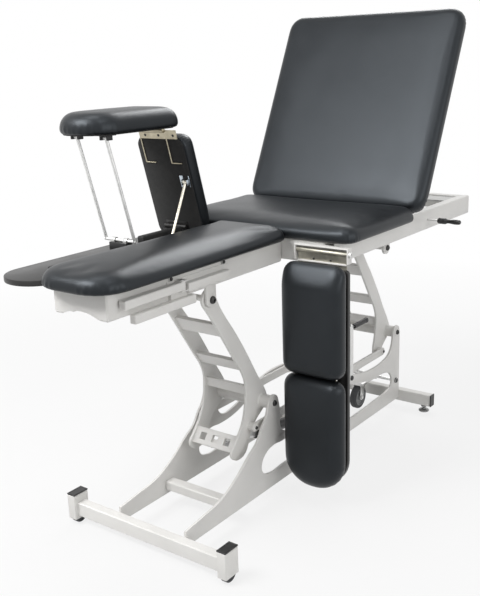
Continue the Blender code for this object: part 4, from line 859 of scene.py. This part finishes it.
def makeArm(name, pivot, tail, withStep):
    outline = around(arm["top"], arm["boss"], 215, 20, 7) + arm["headEdge"]
    outline += around((0, 0), arm["boss"], 20, -70, 5) + tail + arm["footEdge"]
    outlines = [outline, ring((0, 0), arm["bore"]), ring(arm["top"], arm["topBore"])]
    pieces = []
    for side, sign in sides.items():
        pieces.append(sidePlate(name + side, outlines, side, arm["inner"], arm["outer"], arm["rounding"]))
        boss = turnOnLathe(name + "boss", arm["linkBoss"], 28)
        pieces.append(faceOut(boss, arm["link"][0], sign * arm["bossFace"], arm["link"][1]))
        bead = turnOnLathe(name + "bead", arm["bead"], 36, True)
        pieces.append(faceOut(bead, 0, sign * arm["beadFace"], 0))
    pieces.append(place(turnOnLathe(name + "hub", arm["hub"], 40, True), turn=(90, 0, 0)))
    reach = (arm["inner"] + arm["outer"]) / 2
    for start, end in arm["rungs"]:
        pieces.append(armSlab(name + "rung", start, end, reach))
    if withStep:
        pieces.append(armSlab(name + "step", *arm["step"], reach, arm["windowAt"]))
        lug = arm["lug"] + around(arm["tail"], arm["lugRadius"], -80, 100, 9)
        lugHole = ring(arm["tail"], arm["lugBore"])
        pieces.append(cutPlate(name + "lug", [lug, lugHole], -arm["lugHalf"], arm["lugHalf"]))
    return placeBy(weldUp(*pieces), Matrix.Translation((pivot[0], 0, pivot[1])))


arms = {"foot_arm": (basePlate["footPivot"], arm["longTail"], True),
        "head_arm": (basePlate["headPivot"], arm["shortTail"], False)}
for body, (pivot, tail, withStep) in arms.items():
    fit(makeArm(body + "Welded", pivot, tail, withStep), body, powderCoat, "powder_coat", body)
    x, z = pivot[0] + arm["link"][0], pivot[1] + arm["link"][1]
    for side, sign in sides.items():
        pinAt, boltAt = ((x, sign * arm[face], z) for face in ("pinFace", "boltFace"))
        addHead(body + "LinkPin_" + side, arm["linkPin"], pinAt, body, powderCoat, "powder_coat")
        addHead(body + "LinkBolt_" + side, arm["linkBolt"], boltAt, body)
print("lift arms made")

# Running gear

castor = {
    "at": (1.218, 0, 0.0485), "nutFace": 0.0177,
    "core": [(0.0053, 0.0140), (0.0105, 0.0140), (0.0120, 0.0128), (0.0125, 0.0086), (0.0200, 0.0080),
             (0.0215, 0.0092), (0.0235, 0.0092), (0.0250, 0.0080), (0.0290, 0.0084), (0.0300, 0.0120),
             (0.0336, 0.0124)],
    "tread": [(0.0334, 0.0120), (0.0360, 0.0129), (0.0405, 0.0129), (0.0438, 0.0112), (0.0453, 0.0075),
              (0.0455, 0.0)],
    "nut": [(0.0, 0.0042), (0.0045, 0.0042), (0.0080, 0.0034), (0.0080, 0.0), (0.0, 0.0)],
}
roller = {
    "y": 0.284, "z": 0.024,
    "half": [(0.0043, 0.0098), (0.0085, 0.0098), (0.0095, 0.0080), (0.0165, 0.0080), (0.0178, 0.0098),
             (0.0222, 0.0098), (0.0236, 0.0086), (0.0240, 0.0066)],
}
glide = {
    "x": 1.3305, "y": 0.2287, "threads": 8, "pitch": 0.0018,
    "disc": [(0.0, 0.0), (0.0180, 0.0), (0.0198, 0.0016), (0.0200, 0.0048), (0.0172, 0.0076),
             (0.0085, 0.0098),
             (0.0062, 0.0108)],
    "thread": [(0.0058, 0.0116), (0.0064, 0.0125)], "top": [(0.0055, 0.0262), (0.0, 0.0262)],
    "nut": [(0.0, 0.0175), (0.0092, 0.0175), (0.0112, 0.0185), (0.0112, 0.0235), (0.0092, 0.0245),
            (0.0, 0.0245)],
}


def repeatUp(profile, count, pitch):
    # the same stretch of profile, again and again along the axis
    return [(r, h + turn * pitch) for turn in range(count) for r, h in profile]


core = place(turnOnLathe("castorCore", bothEnds(castor["core"]), 48, True), castor["at"], (90, 0, 0))
fit(core, "castor_wheel", wheelCore, "grey_rubber", "castor_wheel")
tyre = place(turnOnLathe("castorTyre", bothEnds(castor["tread"]), 56, True), castor["at"], (90, 0, 0))
fit(tyre, "castor_wheel", rubberTread, "grey_rubber")
screwFoot = glide["disc"] + repeatUp(glide["thread"], glide["threads"], glide["pitch"]) + glide["top"]
for side, sign in sides.items():
    nut = turnOnLathe("castorNut_" + side, castor["nut"], 6)
    faceOut(nut, castor["at"][0], sign * castor["nutFace"], castor["at"][2])
    fit(nut, "castor_fork", zinc, "zinc_steel")
    wheel = turnOnLathe("footRoller_" + side, bothEnds(roller["half"]), 40, True)
    place(wheel, (0, sign * roller["y"], roller["z"]), (90, 0, 0))
    fit(wheel, "roller_" + side, rubberTread, "grey_rubber", "foot_roller_" + side)
    foot = turnOnLathe("levelGlide_" + side, screwFoot, 40)
    nut = turnOnLathe("levelNut_" + side, glide["nut"], 6)
    foot = placeBy(weldUp(foot, nut), Matrix.Translation((glide["x"], sign * glide["y"], 0)))
    fit(foot, "level_" + side, darkSteel, "zinc_steel", "level_foot_" + side)
print("running gear made")

# Levers

castorLever = {
    "pivot": (0.930, 0.245), "height": 0.185, "half": 0.011, "inner": 0.1283, "outer": 0.1343,
    "rounding": 0.0008,
    "stub": 0.030, "stubRadius": 0.0030, "bolt": (0.0092, 0.0048), "ribs": 9, "ribPitch": 0.008,
    "gripRoot": [(0.0, 0.018), (0.0080, 0.018), (0.0088, 0.021)],
    "gripRib": [(0.0088, 0.024), (0.0080, 0.0262), (0.0080, 0.0280), (0.0088, 0.0302)],
    "gripEnd": [(0.0098, 0.100), (0.0100, 0.107), (0.0078, 0.1118), (0.0040, 0.1130), (0.0, 0.1130)],
}
pivotX, pivotZ = castorLever["pivot"]
bar = around((pivotX, pivotZ), castorLever["half"], 180, 360, 9)
bar += around((pivotX, pivotZ + castorLever["height"]), castorLever["half"], 0, 180, 9)
handle = sidePlate("castorLeverBar", [[(x, z, 1) for x, z in bar]], "near", castorLever["inner"],
                   castorLever["outer"], castorLever["rounding"])
leverY = -(castorLever["inner"] + castorLever["outer"]) / 2
leverTop = Vector((pivotX, leverY, pivotZ + castorLever["height"]))
stubEnd = leverTop + Vector((castorLever["stub"], 0, 0))
stub = bentRod("castorLeverStub", [leverTop, stubEnd], castorLever["stubRadius"])
fit(weldUp(handle, stub), "castor_lever", zinc, "zinc_steel", "castor_lever")
gripRibs = repeatUp(castorLever["gripRib"], castorLever["ribs"], castorLever["ribPitch"])
gripProfile = castorLever["gripRoot"] + gripRibs
grip = place(turnOnLathe("castorLeverGrip", gripProfile + castorLever["gripEnd"], 32), leverTop, (0, 90, 0))
fit(grip, "castor_lever", plasticBlack, "black_plastic")
addHead("castorLeverBolt", castorLever["bolt"], (pivotX, -castorLever["outer"], pivotZ), "castor_lever")

release = {
    "at": (1.198, -0.2863, 0.778), "ribs": 5, "ribPitch": 0.005,
    "stem": [(0.0, -0.0040), (0.0028, -0.0028), (0.0036, 0.0), (0.0036, 0.040), (0.0, 0.040)],
    "collar": [(0.0, 0.036), (0.0074, 0.036), (0.0090, 0.0385)],
    "rib": [(0.0104, 0.0415), (0.0104, 0.0435), (0.0094, 0.0447), (0.0094, 0.0455)],
    "handle": [(0.0080, 0.0685), (0.0066, 0.0725), (0.0068, 0.0800), (0.0084, 0.0930), (0.0088, 0.1050),
               (0.0078, 0.1150), (0.0050, 0.1184), (0.0, 0.1187)],
}
stem = faceOut(turnOnLathe("releaseStem", release["stem"], 24), *release["at"])
fit(stem, "release_lever", satinSteel, "zinc_steel", "release_lever")
knobRibs = repeatUp(release["rib"], release["ribs"], release["ribPitch"])
knobProfile = release["collar"] + knobRibs + release["handle"]
knob = faceOut(turnOnLathe("releaseHandle", knobProfile, 32), *release["at"])
fit(knob, "release_lever", plasticBlack, "black_plastic")
print("levers made")

# Deck fittings

channelScrew = {
    "at": ((0.0445, 0.7960), (0.268, 0.7965)), "face": 0.0970, "size": (0.0052, 0.0042), "seat": 0.0011,
    "washer": [(0.0030, 0.0), (0.0074, 0.0), (0.0074, 0.0010), (0.0030, 0.0014)],
}
supportPin = {"x": 0.072, "y": 0.1095, "z": 0.7881, "size": (0.0080, 0.0036)}
railEnd = {"spans": ((1.5688, 1.5716), (0.2503, 0.2787), (0.7481, 0.8084)), "rounding": 0.0006}
for side, sign in sides.items():
    for order, (x, z) in enumerate(channelScrew["at"]):
        washer = turnOnLathe(f"channelWasher{order}_{side}", channelScrew["washer"], 28, True)
        fit(faceOut(washer, x, sign * channelScrew["face"], z), "deck", zinc, "zinc_steel")
        seat = sign * (channelScrew["face"] + channelScrew["seat"])
        addHead(f"channelScrew{order}_{side}", channelScrew["size"], (x, seat, z), "deck")
    head = buttonHead("supportPinHead_" + side, *supportPin["size"])
    place(head, (supportPin["x"], sign * supportPin["y"], supportPin["z"]))
    fit(head, "deck", zinc, "zinc_steel")
    closer = roundedBlock("railEnd_" + side, *sideSpans(side, railEnd["spans"]), railEnd["rounding"], 2)
    fit(closer, "deck", powderCoat, "powder_coat")

rack = {
    "low": 1.0656, "high": 1.5334, "top": 0.7842, "bottom": 0.7687, "half": 0.0218, "pitch": 0.018,
    "depth": 0.006,
    "margin": 0.010, "tooth": ((0.006, 0), (0.010, 1), (0.016, 1), (0.018, 0)), "rounding": 0.0005,
}
teeth = [(rack["low"], rack["bottom"], 1), (rack["low"], rack["top"], 1)]
for tooth in range(int((rack["high"] - rack["low"] - 2 * rack["margin"]) / rack["pitch"])):
    x = rack["low"] + rack["margin"] + tooth * rack["pitch"]
    teeth += [(x + run, rack["top"] - drop * rack["depth"], 1) for run, drop in rack["tooth"]]
teeth += [(rack["high"], rack["top"], 1), (rack["high"], rack["bottom"], 1)]
toothedBar = cutPlate("propRackTeeth", [teeth], -rack["half"], rack["half"], rack["rounding"])
fit(toothedBar, "deck", zinc, "zinc_steel", "prop_rack")

seatPanel = {"low": (0.558, -0.335, 0.8122), "high": (0.977, 0.335, 0.8240), "corners": (0.037,) * 4}
backPanel = {
    "low": (0.0125, -0.335, -0.0097), "high": (0.717, 0.335, 0.0020),
    "corners": (0.0275, 0.047, 0.047, 0.0275),
}
seatBoard = plank("seatPanel", **seatPanel)
fit(seatBoard, "deck", boardBlack, "black_board", "seat_board")
backBoard = plank("backrestPanel", **backPanel)
fit(placeBy(backBoard, backFrame), "backrest", boardBlack, "black_board", "backrest_board")
print("deck fittings made")

# Leg sections: x runs from each hinge towards the foot end as negative, z up from the board

legSection = {
    "inner": 0.155, "outer": 0.343, "start": -0.046, "tip": -0.737, "thick": 0.016, "tipEase": 0.001,
    "rootCorner": 0.012, "rim": 0.0026, "middle": 0.260,
    "clipAt": (-0.024, 0.024), "clipHalf": 0.007, "clipBore": 0.0055, "clipRounding": 0.0006,
    "saddle": [(-0.0090, -0.0098, 1), (-0.0090, 0.0020), (-0.0060, 0.0064), (0.0, 0.0080), (0.0060, 0.0064),
               (0.0090, 0.0020), (0.0090, -0.0098, 1)],
    "blocks": {"thighBlock_": ((-0.076, -0.054), (0.215, 0.305), (0.0155, 0.0362)),
               "rodBlock_": ((-0.332, -0.304), (0.225, 0.295), (0.0155, 0.0386))},
    "blockRounding": 0.0016, "stopRounding": 0.0008,
    "stop": ((-0.0340, -0.0290), (0.164, 0.330), (-0.0004, 0.0052)),
    "screwX": -0.0240, "screwY": (0.218, 0.276), "screwZ": -0.0003, "screw": (0.0036, 0.0020),
    "bolt": (0.0090, 0.0036), "boltFace": 0.3421,
    "rests": {"thighRest_": ((-0.270, -0.085), (0.213, 0.237), (0.0155, 0.0500)),
              "calfRest_": ((-0.625, -0.405), (0.213, 0.237), (0.0155, 0.0300))}, "restRounding": 0.0040,
}
thighFittings = {
    "backing": ((-0.293, 0.038), (0.160, 0.344), (0.0092, 0.0122)), "corners": (0.028,) * 4, "rim": 0.0008,
    "leaf": ((-0.015, 0.015), (0.216, 0.304), (0.0076, 0.0098)), "leafRounding": 0.0005,
    "web": ((-0.0035, 0.0035), (0.216, 0.304), (0.003, 0.0080)),
    "barrelEnd": [(0.0, -0.0445), (0.0068, -0.0445), (0.0074, -0.0438)],
    "groove": [(0.0074, -0.0228), (0.0066, -0.0224), (0.0066, -0.0216), (0.0074, -0.0212)], "grooves": 3,
    "groovePitch": 0.022, "barrelTop": [(0.0074, 0.0438), (0.0068, 0.0445), (0.0, 0.0445)],
    "screwX": -0.303, "screwY": (0.189, 0.247, 0.301), "screwZ": 0.0075, "screw": (0.0040, 0.0016),
    "clipCheeks": [((-0.164, -0.146), span, (-0.0040, 0.0090))
                   for span in ((0.1885, 0.1905), (0.1655, 0.1675))],
    "clipFlanges": [((-0.174, -0.136), span, (0.0074, 0.0094))
                    for span in ((0.1888, 0.2020), (0.1645, 0.1672))],
    "clipRounding": 0.0006,
}
calfFittings = {
    "backing": ((-0.330, -0.002), (0.160, 0.344), (0.0099, 0.0122)), "corners": (0.085, 0.024, 0.024, 0.085),
    "rim": 0.0008, "leaf": ((-0.022, -0.001), (0.216, 0.304), (0.0079, 0.0098)), "leafRounding": 0.0005,
    "plateX": (-0.274, -0.234), "plateHalf": 0.0215, "plateZ": (0.0062, 0.0098), "plateRounding": 0.0012,
    "cheekX": (-0.264, -0.244), "cheekY": ((0.0092, 0.0168), (-0.0168, -0.0092)), "cheekZ": (-0.0064, 0.0080),
    "cheekRounding": 0.0016,
}
calfRods = {
    "foot": -0.318, "spread": 0.058, "radius": 0.0050, "smoothness": 6,
    "pinReach": 0.0160, "pinShare": 0.90, "footReach": 0.063, "footShare": 0.98,
}


def sideBlock(name, side, spans, rounding, segments=3):
    return roundedBlock(name, *sideSpans(side, spans), rounding, segments)


def fitLegBoard(side, sign, part):
    body, stands = "leg_" + side, legFrames[side]
    spans = ((part["tip"], part["start"]), (part["inner"], part["outer"]), (0.0, part["thick"]))
    tip = (part["outer"] - part["inner"]) / 2 - part["tipEase"]
    corners = (tip, part["rootCorner"], part["rootCorner"], tip)
    wing = plank("legBoard_" + side, *sideSpans(side, spans), corners, part["rim"])
    fit(placeBy(wing, stands), body, boardBlack, "black_board", "leg_board_" + side)
    for name, spans in part["blocks"].items():
        block = sideBlock(name + side, side, spans, part["blockRounding"])
        fit(placeBy(block, stands), body, plasticBlack, "black_board")
    for offset in part["clipAt"]:
        middle = sign * (part["middle"] + offset)
        outlines = [part["saddle"], ring((0, 0), part["clipBore"])]
        clip = cutPlate("rodClip_" + side, outlines, middle - part["clipHalf"],
                        middle + part["clipHalf"], part["clipRounding"])
        placeBy(clip, stands @ Matrix.Translation((calfRods["foot"], 0, hinges["padHinge"])))
        fit(clip, body, zinc, "zinc_steel")
    # stop bar and screws on the section's hinge leaf, and the bolt through the bracket's cheek
    stop = sideBlock("hingeStop_" + side, side, part["stop"], part["stopRounding"], 2)
    fit(placeBy(stop, stands), body, powderCoat, "powder_coat")
    for order, y in enumerate(part["screwY"]):
        screw = buttonHead(f"hingeScrew{order}_{side}", *part["screw"])
        place(screw, (part["screwX"], sign * y, part["screwZ"]))
        fit(placeBy(screw, stands), body, boltBlack, "black_plastic")
    x, z = hinges["leg"]
    addHead("bracketBolt_" + side, part["bolt"], (x, sign * part["boltFace"], z), "deck", zinc, "zinc_steel")
    # rubber rests that the folded pads lie on
    for name, spans in part["rests"].items():
        rest = sideBlock(name + side, side, spans, part["restRounding"], 4)
        fit(placeBy(rest, stands), body, rubberBlack, "black_board")


def fitThigh(side, sign, part):
    # backing cloth, hinge leaf with its barrel, screws and the prop's clip under the thigh pad
    body, stands = "thigh_" + side, thighFrames[side]
    backing = plank("thighBacking_" + side, *sideSpans(side, part["backing"]), part["corners"], part["rim"])
    fit(placeBy(backing, stands), body, backingCloth, "black_board")
    leaf = sideBlock("thighLeaf_" + side, side, part["leaf"], part["leafRounding"], 2)
    web = cutBlock("web", *sideSpans(side, part["web"]))
    grooves = repeatUp(part["groove"], part["grooves"], part["groovePitch"])
    barrel = part["barrelEnd"] + grooves + part["barrelTop"]
    tube = place(turnOnLathe("barrel", barrel, 28), (0, sign * legSection["middle"], 0), (90, 0, 0))
    fit(placeBy(weldUp(leaf, web, tube), stands), body, boltBlack, "zinc_steel")
    for order, y in enumerate(part["screwY"]):
        screw = buttonHead(f"kneeScrew{order}_{side}", *part["screw"])
        place(screw, (part["screwX"], sign * y, part["screwZ"]), (180, 0, 0))
        fit(placeBy(screw, stands), body, boltBlack, "black_plastic")
    pieces = [sideBlock("clip", side, spans, part["clipRounding"], 2)
              for spans in part["clipCheeks"] + part["clipFlanges"]]
    fit(placeBy(weldUp(*pieces), stands), body, blueZinc, "zinc_steel").name = "propClip_" + side


def fitCalf(side, part):
    # backing cloth, knee leaf and rod plates under the calf pad
    body, stands = "calf_" + side, calfFrames[side]
    backing = plank("calfBacking_" + side, *sideSpans(side, part["backing"]), part["corners"], part["rim"])
    fit(placeBy(backing, stands), body, backingCloth, "black_board")
    leaf = sideBlock("kneeLeaf_" + side, side, part["leaf"], part["leafRounding"], 2)
    fit(placeBy(leaf, stands), body, yellowZinc, "zinc_steel")
    for offset in (-calfRods["spread"], calfRods["spread"]):
        y = legSection["middle"] + offset
        plateY = (y - part["plateHalf"], y + part["plateHalf"])
        spans = (part["plateX"], plateY, part["plateZ"])
        plate = sideBlock("rodPlate_" + side, side, spans, part["plateRounding"])
        cheeks = [sideBlock("cheek", side, (part["cheekX"], (y + inner, y + outer), part["cheekZ"]),
                            part["cheekRounding"]) for inner, outer in part["cheekY"]]
        fit(placeBy(weldUp(plate, *cheeks), stands), body, plasticBlack, "black_board")


def fitRods(side, sign, part):
    # two rods with a pin each at the calf pad, on one bar in the clips of the board
    stands = legFrames[side] @ stand(part["foot"], hinges["padHinge"], hinges["raise"][side])
    middle = sign * legSection["middle"]
    end = -hinges["thighLength"]
    runs = []
    for y in (middle - part["spread"], middle + part["spread"]):
        runs.append(((0, y, 0), (end, y, 0), 1.0))
        runs.append(((end, y - part["pinReach"], 0), (end, y + part["pinReach"], 0), part["pinShare"]))
    runs.append(((0, middle - part["footReach"], 0), (0, middle + part["footReach"], 0), part["footShare"]))
    rods = [bentRod("rod", [start, stop], part["radius"] * share, part["smoothness"])
            for start, stop, share in runs]
    fit(placeBy(weldUp(*rods), stands), "rods_" + side, satinSteel, "zinc_steel", "calf_rods_" + side)


for side, sign in sides.items():
    fitLegBoard(side, sign, legSection)
    fitThigh(side, sign, thighFittings)
    fitCalf(side, calfFittings)
    fitRods(side, sign, calfRods)
print("leg sections made")

# Floor, light and camera

studio = {
    "floorSize": 60.0, "floor": 0.60, "floorRoughness": 0.9, "floorGloss": 0.1, "edge": (1.3, 3.2),
    "lift": 0.80,
    "world": 0.37, "white": (1.0, 1.0, 1.0, 1),
}
softboxes = {  # place, aim, size and watts
    "headSoftbox": ((2.5, 0.8, 3.1), (-0.2, 0.0, 0.8), (1.8, 1.0), 52.0),
    "overheadSoftbox": ((-0.70, 0.40, 3.1), (-0.1, 0.0, 0.8), (0.8, 0.8), 11.0),
    "footSoftbox": ((-2.3, 1.0, 2.9), (0.3, 0.85, 0.9), (1.9, 1.1), 112.0),
    "edgeStrip": ((-0.9, -1.0, 3.0), (0.5, -0.3, 1.2), (0.30, 1.2), 9.0),
    "nearFill": ((-0.6, -3.5, 1.7), (0.0, 0.0, 0.6), (3.0, 2.0), 44.0),
}
cameraView = {
    "at": (-2.24452, -1.50756, 1.33384), "yaw": 53.03, "pitch": 15.22, "roll": 1.855,
    "focal": 860.6, "height": 596.0, "shiftPixels": -2.6, "sensor": 36.0, "nearest": 0.05,
}


def addSeen(tree):
    # 1 for what the camera and reflections see
    light = tree.nodes.new("ShaderNodeLightPath")
    return addMath(tree, "MAXIMUM", light.outputs["Is Camera Ray"], light.outputs["Is Glossy Ray"])


def mixInto(tree, share, first, second, output):
    mix = tree.nodes.new("ShaderNodeMixShader")
    tree.links.new(share, mix.inputs["Fac"])
    tree.links.new(first, mix.inputs[1])
    tree.links.new(second, mix.inputs[2])
    tree.links.new(mix.outputs["Shader"], tree.nodes[output].inputs["Surface"])


def buildFloor():
    freshStart()
    bpy.ops.mesh.primitive_plane_add(size=studio["floorSize"], location=(0, 0, 0))
    floor = bpy.context.object
    floor.name = "studioFloor"
    finish, tree, shader, coords = newFinish("paleFloor")
    shader.inputs["Base Color"].default_value = (studio["floor"], studio["floor"], studio["floor"], 1)
    shader.inputs["Roughness"].default_value = studio["floorRoughness"]
    shader.inputs["Specular IOR Level"].default_value = studio["floorGloss"]
    # far from the table the floor runs out to plain white for the camera and for reflections
    length = tree.nodes.new("ShaderNodeVectorMath")
    length.operation = "LENGTH"
    tree.links.new(coords, length.inputs[0])
    far = addRange(tree, length.outputs["Value"], *studio["edge"], studio["lift"], 1.0)
    glow = tree.nodes.new("ShaderNodeEmission")
    glow.inputs["Strength"].default_value = 1.0
    share = addMath(tree, "MULTIPLY", addSeen(tree), far)
    mixInto(tree, share, shader.outputs["BSDF"], glow.outputs["Emission"], "Material Output")
    floor.data.materials.append(finish)


def buildWorld():
    world = bpy.data.worlds.new("whiteStudio")
    scene.world = world
    world.use_nodes = True
    tree = world.node_tree
    soft = tree.nodes["Background"]
    backdrop = tree.nodes.new("ShaderNodeBackground")
    for light, strength in ((soft, studio["world"]), (backdrop, 1.0)):
        light.inputs["Color"].default_value = studio["white"]
        light.inputs["Strength"].default_value = strength
    mixInto(tree, addSeen(tree), soft.outputs["Background"], backdrop.outputs["Background"], "World Output")


def addSoftbox(name, at, target, size, power):
    lamp = bpy.data.lights.new(name, "AREA")
    lamp.shape = "RECTANGLE"
    lamp.size, lamp.size_y = size
    lamp.energy = power
    box = bpy.data.objects.new(name, lamp)
    box.location = at
    box.rotation_euler = (Vector(target) - Vector(at)).to_track_quat("-Z", "Y").to_euler()
    scene.collection.objects.link(box)


def addCamera(view):
    yaw, pitch, roll = (math.radians(view[key]) for key in ("yaw", "pitch", "roll"))
    ahead = Vector((math.sin(yaw) * math.cos(pitch), math.cos(yaw) * math.cos(pitch), -math.sin(pitch)))
    level = Vector((math.cos(yaw), -math.sin(yaw), 0.0))
    down = ahead.cross(level)
    right = math.cos(roll) * level + math.sin(roll) * down
    below = math.cos(roll) * down - math.sin(roll) * level
    lens = bpy.data.cameras.new("photoView")
    lens.sensor_width = view["sensor"]
    lens.lens = view["focal"] / view["height"] * view["sensor"]
    lens.shift_y = view["shiftPixels"] / view["height"]
    lens.clip_start = view["nearest"]
    eye = bpy.data.objects.new("photoView", lens)
    turn = Matrix((right, -below, -ahead)).transposed().to_4x4()
    eye.matrix_world = Matrix.Translation(view["at"]) @ turn
    scene.collection.objects.link(eye)
    scene.camera = eye


buildFloor()
buildWorld()
for boxName, settings in softboxes.items():
    addSoftbox(boxName, *settings)
addCamera(cameraView)
scene.view_settings.view_transform = "Standard"
print("studio set")
